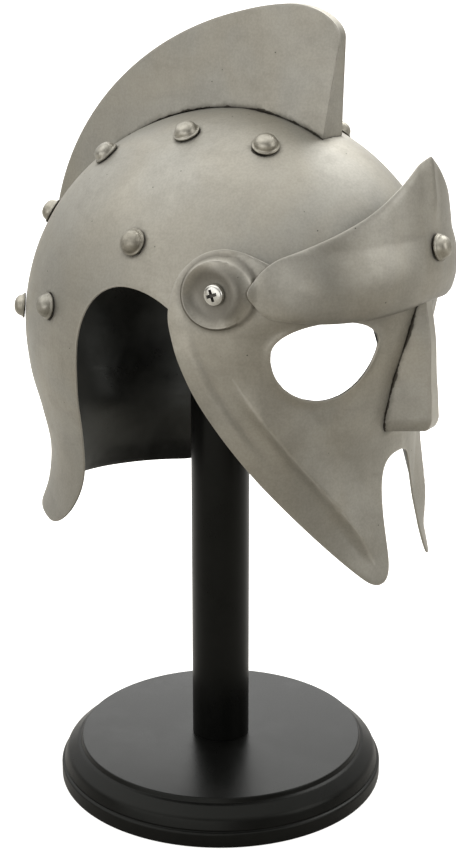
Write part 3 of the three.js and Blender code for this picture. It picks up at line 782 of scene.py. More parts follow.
def makeCrest():
    top, foot = crestSides()
    mirror = np.array((-1, 1, 1))
    sideRows, columns = crest["sideRows"], crest["topColumns"] + 1
    rows = [lerp(foot, top, share) for share in np.linspace(0, 1, sideRows)]
    rows += [top * (across, 1, 1) for across in np.linspace(1, -1, columns)[1:-1]]
    rows += [row * mirror for row in rows[sideRows - 1::-1]]
    grid = np.array(rows)  # section points by stations
    count, stations = grid.shape[:2]
    places = [grid.reshape(-1, 3)]
    faces = gridFaces(count, stations)
    start = count * stations
    share = np.linspace(0, 1, columns)[None, :, None]
    for station, turn in ((stations - 1, 1), (0, -1)):  # the closed front, and the small closed back
        left = grid[:sideRows, station]
        plate = lerp(left[:, None], (left * mirror)[:, None], share)
        faces += [face[::turn] for face in gridFaces(sideRows, columns, start)]
        places.append(plate.reshape(-1, 3))
        start += sideRows * columns
    obj = meshObject("crestFin", np.vstack(places), faces)
    mergeDoubles(obj, turnFaces=True)
    merged = placesOf(obj) / mm
    rim = np.vstack([foot, (foot * mirror)[::-1]])
    ridgeLines = np.vstack([top, top * mirror])
    addValues(obj, edgeDistance=nearest(merged, ridgeLines), seamDistance=nearest(merged, rim))
    finishSheet(obj, crest["middle"], "helmet", "crest", steel, crest["foldRadius"])
    return rim


# face mask

mask = {
    # height, then distance ahead of the post in the middle, and half width
    "reach": [(158, 132), (195, 122), (228, 118), (270, 121), (300, 127), (330, 131.5), (352, 131.5),
              (395, 126)],
    "half": [(158, 89), (195, 93), (228, 98), (270, 103), (300, 105), (330, 103), (352, 98), (395, 86)],
    # plan angle, height
    "lowerEdge": [(0, 229), (5, 228), (8.5, 223), (10.4, 212), (11.8, 192), (13, 175), (15, 165),
                  (18, 160.5), (22, 160.5), (26, 165.5), (35, 182), (47, 207), (60, 237), (72, 269),
                  (78, 292), (81.5, 312)],
    "upperEdge": [(0, 340), (50, 340), (57, 345), (63, 349.5), (68, 350.5), (73, 348), (77.5, 341),
                  (80.2, 332), (81.5, 320)],
    "spacing": 2.0,
    "flatRadius": 105,  # the mask is laid flat at this radius
    "cornerReach": 3,  # points each way that the outline's corners are rounded over
    "underBrow": (306, 316),  # heights between which it gets flat under the brow guard
    "rearFlange": {"height": 1.1, "flat": 8.5, "end": 11.0, "from": 46, "to": 62,  # plan angles
                   "fadeUp": (292, 314),  # heights where it runs out
                   "belowPivot": 8, "behind": 110,  # the part of the rim that it follows
                   "groove": 1.8, "grooveShade": 0.6},
    "eyeLip": {"height": 1.1, "flat": 0.5, "end": 4.2},
    "eyeDish": {"depth": 1.5, "reach": 12},
    "bossDisc": {"radius": 17.4, "dish": 7, "height": 2.9, "step": 1.5, "points": 90, "groove": 1.6,
                 "underBrow": 0.5, "pastBrow": (-1, 5),  # lower where the brow guard lies over it
                 "shade": 1.35, "shadeTo": 12},  # painted shade over the disc out to this radius, none at the rim
    "cheekFold": [(62, 283), (54, 262), (43, 236), (32, 210), (24, 188), (20, 172)],  # plan angle, height
    "foldHeight": 4.6, "foldInside": 24, "foldOutside": 5.5, "foldFade": 0.3, "foldSharpness": 1.3,
}
eye = {"innerPlan": 18, "outerPlan": 52, "corner": 297, "upperLid": 15, "lowerLid": 28}


# half length and half width of the mask at a height, drawn out by a gap
def maskRadii(up, gap=0.0):
    return smoothRows(mask["reach"], up) - skull["centreAhead"] + gap, smoothRows(mask["half"], up) + gap


def pivotDistance(ahead, up):
    return np.hypot(ahead - pivot["ahead"], up - pivot["up"])


def maskPlace(plan, up, out):
    length, half = maskRadii(up)
    normal = np.stack([np.cos(plan) / length, np.sin(plan) / half])
    normal = normal / np.linalg.norm(normal, axis=0)
    ahead = skull["centreAhead"] + length * np.cos(plan) + out * normal[0]
    left = half * np.sin(plan) + out * normal[1]
    pad = 1 - smoothStep(pivotDistance(ahead, up), pivot["padRadius"], pivot["padBlend"])
    left = lerp(left, np.sign(left) * (pivot["padFace"] + out), pad)
    return placed(ahead, left, up)


def maskSurface(flat, out):
    return maskPlace(flat[:, 0] / mask["flatRadius"], flat[:, 1], out)


def maskFlat(planDegrees, up):
    return np.stack([np.radians(planDegrees) * mask["flatRadius"], up], axis=1)


def planOf(flat):
    return np.degrees(flat[:, 0] / mask["flatRadius"])


# flat points of places near the mask
def maskFlatOf(places):
    length, half = maskRadii(places[:, 2])
    ahead = -places[:, 1] - skull["centreAhead"]
    return maskFlat(np.degrees(np.arctan2(places[:, 0] / half, ahead / length)), places[:, 2])


def bothSides(flat):
    return [flat, flat * (-1, 1)]


def maskEdge(count=400):
    plan = np.linspace(0, mask["lowerEdge"][-1][0], count)
    lower = maskFlat(plan, smoothRows(mask["lowerEdge"], plan))
    upper = maskFlat(plan[::-1], smoothRows(mask["upperEdge"], plan[::-1]))
    half = np.vstack([lower, upper])
    return np.vstack([half, half[-2:0:-1] * (-1, 1)])


def eyeEdge(count=240):
    turn = fullTurn(count)
    middle = (eye["innerPlan"] + eye["outerPlan"]) / 2
    reach = (eye["outerPlan"] - eye["innerPlan"]) / 2
    lid = np.where(np.sin(turn) > 0, eye["upperLid"], eye["lowerLid"])
    return maskFlat(middle + reach * np.cos(turn), eye["corner"] + lid * np.sin(turn))


# flat points of a ring round the left pivot, seen from the side
def ringOnMask(radius, count=16):
    ahead, up = ringOfPoints(pivot["ahead"], pivot["up"], radius, count)
    return maskFlat(np.degrees(np.arccos((ahead - skull["centreAhead"]) / maskRadii(up)[0])), up)


# rows of evenly spread points, the same on both sides of the middle
def hexGrid(low, high, spacing):
    rowGap = spacing * math.sqrt(3) / 2
    points = []
    for i, up in enumerate(np.arange(low[1], high[1], rowGap)):
        across = np.arange(spacing * (0.5 if i % 2 else 1), high[0], spacing)
        both = np.concatenate([-across[::-1], across if i % 2 else np.concatenate([[0], across])])
        points.append(np.stack([both, np.full(len(both), up)], axis=1))
    return np.vstack(points)


def cheekFoldLine(count=200):
    plan, up = np.array(mask["cheekFold"], float).T
    at = np.linspace(0, 1, count)
    along = np.linspace(0, 1, len(plan))
    return maskFlat(*(smoothRows(np.column_stack([along, values]), at) for values in (plan, up)))


# a crisp fold over the cheek: a long slope up to it from the eye, a short one down to the jaw
def cheekFoldRelief(flat):
    line = cheekFoldLine()
    folded = np.abs(flat[:, :1]), flat[:, 1:]
    gaps = np.hypot(folded[0] - line[:, 0], folded[1] - line[:, 1])
    near = gaps.argmin(1)
    tangent = np.gradient(line, axis=0)[near]
    offset = np.hstack(folded) - line[near]
    towardsEye = tangent[:, 0] * offset[:, 1] - tangent[:, 1] * offset[:, 0] < 0
    reach = np.where(towardsEye, mask["foldInside"], mask["foldOutside"])
    share = np.clip(gaps.min(1) / reach, 0, 1)
    along = near / (len(line) - 1)
    ends = smoothStep(along, 0, mask["foldFade"]) * (1 - smoothStep(along, 1 - mask["foldFade"], 1))
    return mask["foldHeight"] * ends * (1 - share) ** mask["foldSharpness"]


# how far the mask stands out from its plain curve, and how much painted shade its grooves, boss disc and the
# band under the brow guard get
def maskRelief(flat, places, rim, eyeRim):
    flange, lip, dish, disc = (mask[key] for key in ("rearFlange", "eyeLip", "eyeDish", "bossDisc"))
    plan, up = np.abs(planOf(flat)), places[:, 2]
    rear = rim[(rim[:, 2] < pivot["up"] - flange["belowPivot"]) & (-rim[:, 1] < flange["behind"])]
    toRear, toEye = nearest(places, rear), nearest(places, eyeRim)
    fade = smoothStep(plan, flange["from"], flange["to"]) * (1 - smoothStep(up, *flange["fadeUp"]))
    relief = flange["height"] * fade * (1 - smoothStep(toRear, flange["flat"], flange["end"]))
    bare = 1 - smoothStep(up, *mask["underBrow"])
    relief += bare * lip["height"] * (1 - smoothStep(toEye, lip["flat"], lip["end"]))
    relief -= bare * dish["depth"] * np.exp(-(toEye / dish["reach"]) ** 2)
    away = pivotDistance(-places[:, 1], up)
    foot = disc["radius"] + disc["step"]
    rise = disc["height"] * lerp(disc["underBrow"], 1, smoothStep(plan - brow["endPlan"], *disc["pastBrow"]))
    dished = np.clip((away - disc["dish"]) / (disc["radius"] - disc["dish"]), 0, 1) ** 2
    relief = lerp(relief, rise * dished, 1 - smoothStep(away, disc["radius"], foot))
    relief += cheekFoldRelief(flat)
    # painted shade: in the groove round the boss disc, over the disc, in the groove by the rear flange and
    # under the brow guard
    hollow = np.exp(-((away - foot) / disc["groove"]) ** 2)
    hollow += disc["shade"] * (1 - smoothStep(away, disc["shadeTo"], disc["radius"]))
    hollow += flange["grooveShade"] * fade * np.exp(-((toRear - flange["end"]) / flange["groove"]) ** 2)
    belowBrow = np.maximum(browEdges(plan)[0] - up, 0)
    hollow += browOpen(plan) * np.exp(-belowBrow / brow["lowShade"])
    return relief, np.clip(hollow, 0, disc["shade"])


def makeMask(noseLine, browLine):
    spacing, disc = mask["spacing"], mask["bossDisc"]
    fineStep = spacing * sheet["fineStep"]
    edge = softCorners(evenly(maskEdge(), spacing * sheet["rimStep"], maskSurface), mask["cornerReach"])
    eyes = bothSides(evenly(eyeEdge(), fineStep, maskSurface))
    loops = [edge, *eyes, *bothSides(ringOnMask(pivot["hole"]))]
    rings = []
    for radius in (disc["radius"], disc["radius"] + disc["step"]):
        ring = ringOnMask(radius, disc["points"])
        rings += bothSides(ring[insideLoop(ring, edge)])
    folds = bothSides(evenly(cheekFoldLine(), spacing * sheet["foldStep"], maskSurface, closed=False))
    noseCrease = evenly(maskFlatOf(noseLine), fineStep, maskSurface, closed=False)
    inner = hexGrid(edge.min(0), edge.max(0), spacing)
    flat, faces = fillOutline(loops, inner, spacing, maskSurface, [*rings, *folds, noseCrease])
    places = maskSurface(flat, 0.0)
    rim = maskSurface(edge, 0.0)
    eyeRim = np.vstack([maskSurface(line, 0.0) for line in eyes])
    # the disc rims and cheek folds are rubbed bright like the edges: partly wear, partly a painted highlight
    # along the ridges
    wornAndHighlitRidges = [maskSurface(line, 0.0) for line in (*rings[:2], *folds)]
    seams = np.vstack([maskSurface(noseCrease, 0.0), browLine])
    relief, hollow = maskRelief(flat, places, rim, eyeRim)
    obj = meshObject("faceMask", maskSurface(flat, relief), faces)
    addValues(obj, edgeDistance=nearest(places, np.vstack([rim, eyeRim, *wornAndHighlitRidges])), hollow=hollow,
              seamDistance=nearest(places, seams))
    finishSheet(obj, helmetMiddle, "mask", "face_mask", maskSteel)


# brow guard

brow = {
    "endPlan": 59.5,
    "endLift": 1.7, "topLift": 3.2, "rollLift": 6.5, "rollHeight": 44, "rollStart": 0.16,
    "closeFrom": 36, "closeTo": 56,  # plan angles between which it closes in on the mask
    "roundFrom": 52,  # plan angle from which its edges run into a round end
    # plan angle, height
    "low": [(0, 316), (6, 315.5), (15, 314), (28, 312.5), (42, 313), (53, 315.5), (59, 318.5)],
    "top": [(0, 393), (6, 389), (15, 379.5), (28, 366), (42, 354.5), (53, 346.5), (59, 342)],
    "spacing": 2.0,
    "edgeCurl": 1.0, "endCurl": 0.3, "curlReach": 4.5,
    "lowShade": 6.5,  # reach of the painted shade along its lower edge, on it and on the mask below it
    # crease up the middle of the frontlet
    "keel": {"height": 2.2, "width": 10, "from": 352, "to": 372, "sharpness": 1.4, "points": 30,
             "belowTop": 1},
}


def browEdges(degrees):
    plan = np.minimum(np.abs(degrees), brow["endPlan"])
    low, top = smoothRows(brow["low"], plan), smoothRows(brow["top"], plan)
    past = np.maximum(plan - brow["roundFrom"], 0) / (brow["endPlan"] - brow["roundFrom"])
    close = (1 - np.sqrt(1 - past ** 2)) / 2
    return lerp(low, top, close), lerp(top, low, close)


# how far the brow guard is rolled out from the mask: all over the eyes, not at the temples
def browOpen(degrees):
    return 1 - smoothStep(np.abs(degrees), brow["closeFrom"], brow["closeTo"])


def browSurface(flat, out):
    degrees = planOf(flat)
    low = browEdges(degrees)[0]
    roll = np.sin(math.pi * np.clip(brow["rollStart"] + (flat[:, 1] - low) / brow["rollHeight"], 0, 1))
    lift = brow["topLift"] + (brow["rollLift"] - brow["topLift"]) * roll
    return maskPlace(np.radians(degrees), flat[:, 1], lerp(brow["endLift"], lift, browOpen(degrees)) + out)


def browEdge(count=600):
    degrees = brow["endPlan"] * np.sin(np.linspace(-math.pi / 2, math.pi / 2, count))
    low, top = browEdges(degrees)
    return np.vstack([maskFlat(degrees, low), maskFlat(degrees[-2:0:-1], top[-2:0:-1])])


def makeBrow():
    spacing, keel = brow["spacing"], brow["keel"]
    edge = evenly(browEdge(), spacing * sheet["fineStep"], browSurface)
    keelUp = np.linspace(keel["from"], brow["top"][0][1] - keel["belowTop"], keel["points"])
    keelLine = maskFlat(np.zeros(keel["points"]), keelUp)
    inner = hexGrid(edge.min(0), edge.max(0), spacing)
    flat, faces = fillOutline([edge], inner, spacing, browSurface, [keelLine])
    places = browSurface(flat, sheet["thickness"])
    rim = browSurface(edge, sheet["thickness"])
    edgeDistance = nearest(places, rim)
    degrees = planOf(flat)
    curl = brow["edgeCurl"] * lerp(brow["endCurl"], 1.0, browOpen(degrees))
    relief = -curl * np.clip(1 - edgeDistance / brow["curlReach"], 0, 1) ** 2
    keelShare = np.clip(1 - np.abs(places[:, 0]) / keel["width"], 0, 1) ** keel["sharpness"]
    relief += keel["height"] * keelShare * smoothStep(flat[:, 1], keel["from"], keel["to"])
    obj = meshObject("browGuard", browSurface(flat, sheet["thickness"] + relief), faces)
    # painted shade along its lower edge over the eyes
    lowEdgeShade = np.exp((browEdges(degrees)[0] - flat[:, 1]) / brow["lowShade"]) * browOpen(degrees)
    addValues(obj, edgeDistance=edgeDistance, hollow=np.clip(lowEdgeShade, 0, 1), seamDistance=farAway)
    finishSheet(obj, helmetMiddle, "mask", "brow_guard", maskSteel)
    return rim


# nose guard

nose = {
    # height, then half width at the mask, half width of the ridge, and its lift off the mask
    "half": [(251, 17), (266, 15), (290, 11), (306, 9), (315, 7.5), (321, 7)],
    "ridge": [(251, 4.8), (266, 4.2), (290, 3.4), (306, 3.1), (315, 3), (321, 3)],
    "lift": [(251, 21), (266, 18.5), (290, 12.6), (306, 7.4), (315, 4.2), (321, 3.4)],
    "tip": {"up": 244, "half": 16, "ridge": 4.2, "lift": 17},  # the bottom, rounded back under the point
    "sunk": 8, "spread": 4, "rows": 56, "tipRows": 8, "floorRows": 10, "sideColumns": 16, "ridgeColumns": 4,
    "foldRadius": 1.6,
    "middle": (0, -100, 285),  # a point behind it
}


# how far a place stands outside the mask, as a share of its radii, less the seat gap
def offMask(places):
    length, half = maskRadii(places[:, 2], seatGap)
    ahead = -places[:, 1] - skull["centreAhead"]
    return np.hypot(ahead / length, places[:, 0] / half) - 1


def noseSection(up, half, ridge, lift):
    reach = smoothRows(mask["reach"], up)
    front = placed([reach + lift], [ridge], [up])
    deep = placed([reach - nose["sunk"]], [half + nose["spread"]], [up])
    foot = crossing(front, deep, offMask)[0]
    side = lerp(foot, front[0], np.linspace(0, 1, nose["sideColumns"])[:, None])
    across = np.linspace(1, -1, nose["ridgeColumns"] + 1)[1:-1, None]
    top = np.hstack([front[0, 0] * across, np.repeat(front[:, 1:], len(across), axis=0)])
    return np.vstack([side, top, (side * (-1, 1, 1))[::-1]])


def makeNose():
    measures = ("half", "ridge", "lift")
    point, top = nose["lift"][0][0], nose["lift"][-1][0]
    tip = nose["tip"]
    rows = [noseSection(up, *(float(smoothRows(nose[key], up)) for key in measures))
            for up in np.linspace(top, point, nose["rows"])]
    for turn in np.linspace(0, math.pi / 2, nose["tipRows"])[1:]:
        share = 1 - math.cos(turn)
        up = lerp(point, tip["up"], math.sin(turn))
        rows.append(noseSection(up, *(lerp(nose[key][0][1], tip[key], share) for key in measures)))
    last = rows[-1]
    left = np.linspace(last[0, 0], last[-1, 0], len(last))
    length, half = maskRadii(tip["up"], seatGap)
    back = placed(skull["centreAhead"] + length * np.sqrt(1 - (left / half) ** 2), left, tip["up"])
    rim = np.vstack([[row[0] for row in rows], back[1:-1], [row[-1] for row in rows[::-1]]])
    ridge = slice(nose["sideColumns"] - 1, nose["sideColumns"] + nose["ridgeColumns"])
    ridgeLines = np.vstack([row[ridge] for row in rows])
    rows += [lerp(last, back, share) for share in np.linspace(0, 1, nose["floorRows"])[1:]]
    grid = np.array(rows)
    obj = meshObject("noseGuard", grid.reshape(-1, 3), gridFaces(*grid.shape[:2]))
    mergeDoubles(obj)
    merged = placesOf(obj) / mm
    addValues(obj, edgeDistance=nearest(merged, ridgeLines), seamDistance=nearest(merged, rim))
    finishSheet(obj, nose["middle"], "mask", "nose_guard", maskSteel, nose["foldRadius"])
    return rim


# studs and screws, by geometry nodes

# where a turned node of the frame stands: the middle of its foot, and its direction away from the helmet
def seatOf(nodeName, middle):
    places = np.unique(placesOf(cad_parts[nodeName]).round(6), axis=0)  # each corner once
    centre = places.mean(0)
    axis = np.linalg.svd(places - centre)[2][2]
    if axis @ (centre - np.array(middle)) < 0:
        axis = -axis
    along = (places - centre) @ axis
    return centre + axis * along.min(), axis


def seatPoints(name, seats):
    mesh = bpy.data.meshes.new(name)
    mesh.from_pydata([tuple(place) for place, _ in seats], [], [])
    direction = mesh.attributes.new("seatDirection", "FLOAT_VECTOR", "POINT")
    direction.data.foreach_set("vector", np.array([axis for _, axis in seats], np.float32).ravel())
    return linked(name, mesh)


# whole numbers, such as a count of segments, get a socket of their own kind
def geometryGroup(name, numbers):
    inputs = [("Seats", "NodeSocketGeometry", None)]
    for key, value in numbers.items():
        inputs.append((key, "NodeSocketInt" if isinstance(value, int) else "NodeSocketFloat", value))
    return nodeGroup(name, "GeometryNodeTree", inputs, [("Pieces", "NodeSocketGeometry")])


def shapeCurve(tree, value, points):
    node = put(tree, "ShaderNodeFloatCurve", {}, {"Value": value})
    curve = node.mapping.curves[0]
    while len(curve.points) < len(points):
        curve.points.new(0.5, 0.5)
    for point, location in zip(curve.points, points):
        point.location = location
        point.handle_type = "AUTO"
    node.mapping.update()
    return node.outputs[0]


def welded(tree, geometry, distance):
    return put(tree, "GeometryNodeMergeByDistance", {},
               {"Geometry": geometry, "Distance": distance * mm}).outputs[0]


# a turned shape from two curves along its profile: share of the radius and share of the height
def turnedNodes(tree, radius, height, shape, segments, weld=0.002):
    grid = put(tree, "GeometryNodeMeshGrid", {},
               {"Size X": 1.0, "Size Y": 1.0, "Vertices X": shape["rows"], "Vertices Y": segments})
    at = put(tree, "ShaderNodeSeparateXYZ", {}, {0: put(tree, "GeometryNodeInputPosition").outputs[0]})
    share = plus(tree, at.outputs[0], 0.5)
    turn = times(tree, plus(tree, at.outputs[1], 0.5), 2 * math.pi)
    reach = times(tree, shapeCurve(tree, share, shape["radiusCurve"]), radius)
    rise = times(tree, shapeCurve(tree, share, shape["heightCurve"]), height)
    spot = combined(tree, times(tree, reach, calc(tree, "COSINE", turn)),
                    times(tree, reach, calc(tree, "SINE", turn)), rise)
    bent = put(tree, "GeometryNodeSetPosition", {}, {"Geometry": grid.outputs[0], "Position": spot})
    return welded(tree, bent.outputs[0], weld)


def joined(tree, pieces):
    node = put(tree, "GeometryNodeJoinGeometry")
    for piece in pieces:
        tree.links.new(piece, node.inputs[0])
    return node.outputs[0]


def moved(tree, geometry, translation, turn=0.0):
    return put(tree, "GeometryNodeTransform", {}, {
        "Geometry": geometry, "Translation": translation, "Rotation": (0, 0, turn)}).outputs[0]


# sets one piece on every seat, turned to its direction, and makes it plain mesh
def seatPieces(tree, given, result, piece, material, scale=(1, 1, 1)):
    direction = put(tree, "GeometryNodeInputNamedAttribute", {"data_type": "FLOAT_VECTOR"},
                    {"Name": "seatDirection"})
    turn = put(tree, "FunctionNodeAlignRotationToVector", {"axis": "Z"}, {"Vector": direction.outputs[0]})
    seated = put(tree, "GeometryNodeInstanceOnPoints", {}, {
        "Points": given["Seats"], "Instance": piece, "Rotation": turn.outputs[0], "Scale": scale})
    real = put(tree, "GeometryNodeRealizeInstances", {}, {"Geometry": seated.outputs[0]})
    smooth = put(tree, "GeometryNodeSetShadeSmooth", {}, {"Geometry": real.outputs[0]})
    dressed = put(tree, "GeometryNodeSetMaterial", {}, {"Geometry": smooth.outputs[0], "Material": material})
    tree.links.new(dressed.outputs[0], result["Pieces"])


def runTree(carrier, tree, values):
    modifier = carrier.modifiers.new("pieces", "NODES")
    modifier.node_group = tree
    for item in tree.interface.items_tree:
        if item.in_out == "INPUT" and item.name in values:
            modifier[item.identifier] = values[item.name]
    graph = bpy.context.evaluated_depsgraph_get()
    made = bpy.data.meshes.new_from_object(carrier.evaluated_get(graph))
    carrier.modifiers.clear()
    carrier.data = made
    return carrier


stud = {
    "diameter": 15.0, "height": 6.5, "segments": 48, "rows": 26,
    "seed": 7, "unevenness": 0.03,
    # along the profile from the top: share of the radius, share of the height
    "radiusCurve": [(0, 0), (0.2, 0.34), (0.42, 0.66), (0.6, 0.82), (0.7, 0.875), (0.76, 0.93), (0.84, 0.995),
                    (0.92, 1.0), (1, 0.985)],
    "heightCurve": [(0, 1), (0.2, 0.95), (0.42, 0.74), (0.6, 0.45), (0.7, 0.24), (0.76, 0.185), (0.84, 0.14),
                    (0.92, 0.06), (1, 0.0)],
}


def makeStudTree():
    tree, given, result = geometryGroup("roundStuds", {
        "Diameter": stud["diameter"] * mm, "Height": stud["height"] * mm, "Segments": stud["segments"],
        "Unevenness": stud["unevenness"], "Seed": stud["seed"]})
    cap = turnedNodes(tree, times(tree, given["Diameter"], 0.5), given["Height"], stud, given["Segments"])
    lowest = calc(tree, "SUBTRACT", 1.0, given["Unevenness"])
    rise = put(tree, "FunctionNodeRandomValue", {"data_type": "FLOAT"},
               {2: lowest, 3: 1.0, "Seed": given["Seed"]}).outputs[1]
    seatPieces(tree, given, result, cap, studSteel, combined(tree, 1.0, 1.0, rise))
    return tree


# height of each point of the studs over its own seat
def studHeights(obj, seats):
    places = placesOf(obj)
    heights = np.full(len(places), farAway)
    for seat, axis in seats:
        inReach = np.linalg.norm(places - seat, axis=1) < stud["diameter"] * mm
        heights[inReach] = ((places[inReach] - seat) @ axis) / mm
    return heights


def makeStuds():
    tree = makeStudTree()
    middle = (0, -skull["centreAhead"] * mm, skull["equator"] * mm)
    skullNodes = sorted(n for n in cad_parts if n.startswith(("stud_crest", "stud_rim")))
    groups = {"skullStuds": ("helmet", skullNodes), "browStud": ("mask", ["stud_brow_centre"])}
    seats = {}
    for name, (body, nodes) in groups.items():
        seats[name] = [seatOf(n, middle) for n in nodes]
        obj = runTree(seatPoints(name, seats[name]), tree, {"Segments": stud["segments"]})
        addValues(obj, seamDistance=studHeights(obj, seats[name]), edgeDistance=farAway)
        finishPiece(obj, body, nodes, [studSteel])
    return seats


# the line where a stud's rim meets the skull
def studFoot(seat, axis, count=40):
    turn = np.array(Vector(axis).to_track_quat("Z", "Y").to_matrix())
    return seat / mm + stud["diameter"] / 2 * (onCircle(fullTurn(count)) @ turn[:, :2].T)


screw = {
    "head": 5.8, "headHeight": 3.4, "segments": 48, "rows": 20, "sharpAngle": 38,
    "shank": 2.5, "shankSides": 24, "shankInNut": 0.4, "collar": 6.0, "collarSides": 40, "nutToCollar": 3.56,
    "nut": 4.9, "nutHeight": 2.4, "nutSides": 6,
    "recessWidth": 1.8, "recessLength": 6.4, "recessDepth": 2.3, "recessSlack": 0.1, "turn": 0.35,
    "weld": 0.01,
    "radiusCurve": [(0, 0), (0.3, 0.52), (0.55, 0.84), (0.75, 0.975), (0.86, 1.0), (1, 1.0)],
    "heightCurve": [(0, 1), (0.3, 0.97), (0.55, 0.85), (0.75, 0.6), (0.86, 0.4), (1, 0)],
}


def makeScrewTree(collarLow, collarHigh, nutTop, headLow):
    tree, given, result = geometryGroup("crossHeadScrews", {
        "Head Diameter": 2 * screw["head"] * mm, "Head Height": screw["headHeight"] * mm,
        "Recess Width": screw["recessWidth"] * mm, "Recess Length": screw["recessLength"] * mm,
        "Recess Depth": screw["recessDepth"] * mm})
    radius = times(tree, given["Head Diameter"], 0.5)
    head = turnedNodes(tree, radius, given["Head Height"], screw, screw["segments"])
    floor = put(tree, "GeometryNodeMeshCircle", {"fill_type": "NGON"},
                {"Vertices": screw["segments"] - 1, "Radius": radius})
    down = put(tree, "GeometryNodeFlipFaces", {}, {0: floor.outputs[0]})
    closed = welded(tree, joined(tree, [down.outputs[0], head]), screw["weld"])
    cut = put(tree, "GeometryNodeMeshBoolean", {"operation": "DIFFERENCE", "solver": "EXACT"})
    tree.links.new(closed, cut.inputs[0])
    deep = times(tree, given["Recess Depth"], 2.0)
    lift = combined(tree, 0.0, 0.0, given["Head Height"])
    for names in (("Recess Length", "Recess Width"), ("Recess Width", "Recess Length")):
        extent = combined(tree, *(given[name] for name in names), deep)
        wing = put(tree, "GeometryNodeMeshCube", {}, {"Size": extent})
        tree.links.new(moved(tree, wing.outputs[0], lift, screw["turn"]), cut.inputs[1])
    parts = [moved(tree, cut.outputs[0], (0, 0, headLow * mm))]
    rods = [  # radius, sides, low end, high end
        (screw["shank"], screw["shankSides"], nutTop - screw["shankInNut"], headLow),
        (screw["collar"], screw["collarSides"], collarLow, collarHigh),
        (screw["nut"], screw["nutSides"], nutTop - screw["nutHeight"], nutTop),
    ]
    for reach, sides, low, high in rods:
        rod = put(tree, "GeometryNodeMeshCylinder", {}, {
            "Vertices": sides, "Radius": reach * mm, "Depth": (high - low) * mm})
        parts.append(moved(tree, rod.outputs[0], (0, 0, (low + high) / 2 * mm)))
    seatPieces(tree, given, result, joined(tree, parts), nickel)
    return tree


def makeScrews():
    low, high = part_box("pivot_screw_left")
    headLow = high.x / mm - screw["headHeight"]
    nutTop = low.x / mm + screw["nutHeight"]
    collarHigh = headLow - sheet["thickness"] - 2 * seatGap
    tree = makeScrewTree(nutTop + screw["nutToCollar"], collarHigh, nutTop, headLow)
    axisPlace = np.array((0, -pivot["ahead"] * mm, pivot["up"] * mm))
    seats = [(axisPlace, np.array((side, 0, 0))) for side in (1, -1)]
    obj = runTree(seatPoints("pivotScrews", seats), tree, {})
    obj.data.set_sharp_from_angle(angle=math.radians(screw["sharpAngle"]))
    places = placesOf(obj) / mm
    out = np.abs(places[:, 0])
    slack = screw["recessSlack"]
    corners = math.hypot(screw["recessLength"], screw["recessWidth"]) / 2
    inRecess = pivotDistance(-places[:, 1], places[:, 2]) < corners + slack
    floorUp = headLow + screw["headHeight"] - screw["recessDepth"]
    # painted shade in the cross recess
    addValues(obj, hollow=inRecess & (out > headLow) & (out < floorUp + slack),
              edgeDistance=farAway, seamDistance=farAway)
    finishPiece(obj, "helmet", ["pivot_screw_left", "pivot_screw_right"], [nickel])


# display stand

base = {
    # radius less the rim's radius, height, corner radius
    "profile": [(0, 0, 1.2), (0, 8.8, 1.8), (-1.9, 9.5, 0.3), (-1.7, 10.6, 0.8), (-3.6, 16.2, 6.0),
                (-10.4, 21.6, 4.0), (-12.2, 22.3, 0.4), (-13.0, 25, 1.0)],
    "segments": 180,
}
post = {
    "footRound": 0.3,
    "dome": [(1, 3.2, 1.2), (0.7, 1.274, 8), (0.35, 0.3, 8)],  # share of the radius, drop, corner radius
    "segments": 96,
}


# a profile of (radius, height, corner radius) with its corners rounded; a corner takes less than half a side
def filleted(rows, steps=6, sideShare=0.48):
    points = [rows[0][:2]]
    for before, here, after in zip(rows, rows[1:], rows[2:]):
        corner = np.array(here[:2], float)
        toBefore = np.array(before[:2], float) - corner
        toAfter = np.array(after[:2], float) - corner
        lengths = np.linalg.norm(toBefore), np.linalg.norm(toAfter)
        toBefore, toAfter = toBefore / lengths[0], toAfter / lengths[1]
        half = math.acos(np.clip(toBefore @ toAfter, -1, 1)) / 2
        pull = min(here[2] / math.tan(half), min(lengths) * sideShare)
        start, end = corner + toBefore * pull, corner + toAfter * pull
        for t in np.linspace(0, 1, steps + 1):
            points.append(start * (1 - t) ** 2 + 2 * corner * t * (1 - t) + end * t * t)
    points.append(rows[-1][:2])
    return np.array([tuple(p) for p in points])


def turnedObject(name, profile, segments, sharpAngle=50):
    radius, height = profile[1:-1].T
    circle = onCircle(fullTurn(segments))
    rings = [np.column_stack([r * circle, np.full(segments, h)]) for r, h in zip(radius, height)]
    places = np.vstack([*rings, (0, 0, profile[0][1]), (0, 0, profile[-1][1])])
    faces = []
    for r in range(len(rings) - 1):
        for k in range(segments):
            a, b = r * segments + k, r * segments + (k + 1) % segments
            faces.append((a, b, b + segments, a + segments))
    bottom = len(rings) * segments
    lastRing = bottom - segments
    for k in range(segments):
        faces.append((bottom, (k + 1) % segments, k))
        faces.append((bottom + 1, lastRing + k, lastRing + (k + 1) % segments))
    obj = meshObject(name, places, faces)
    obj.data.set_sharp_from_angle(angle=math.radians(sharpAngle))
    return obj


def makeStand():
    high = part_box("stand_base")[1]
    rim, top = high.x / mm, high.z / mm
    profile = [(rim + inset, up, corner) for inset, up, corner in base["profile"]]
    foot = turnedObject("standBase", filleted([(0, 0, 0), *profile, (0, top, 0)]), base["segments"])
    finishPiece(foot, "helmet", ["stand_base"], [standPaint])
    low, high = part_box("stand_post")
    radius, bottom, crown = high.y / mm, low.z / mm, high.z / mm
    dome = [(radius * share, crown - drop, corner) for share, drop, corner in post["dome"]]
    profile = [(0, bottom, 0), (radius, bottom, post["footRound"]), *dome, (0, crown, 0)]
    rod = turnedObject("standPost", filleted(profile), post["segments"])
    finishPiece(rod, "helmet", ["stand_post"], [standPaint])


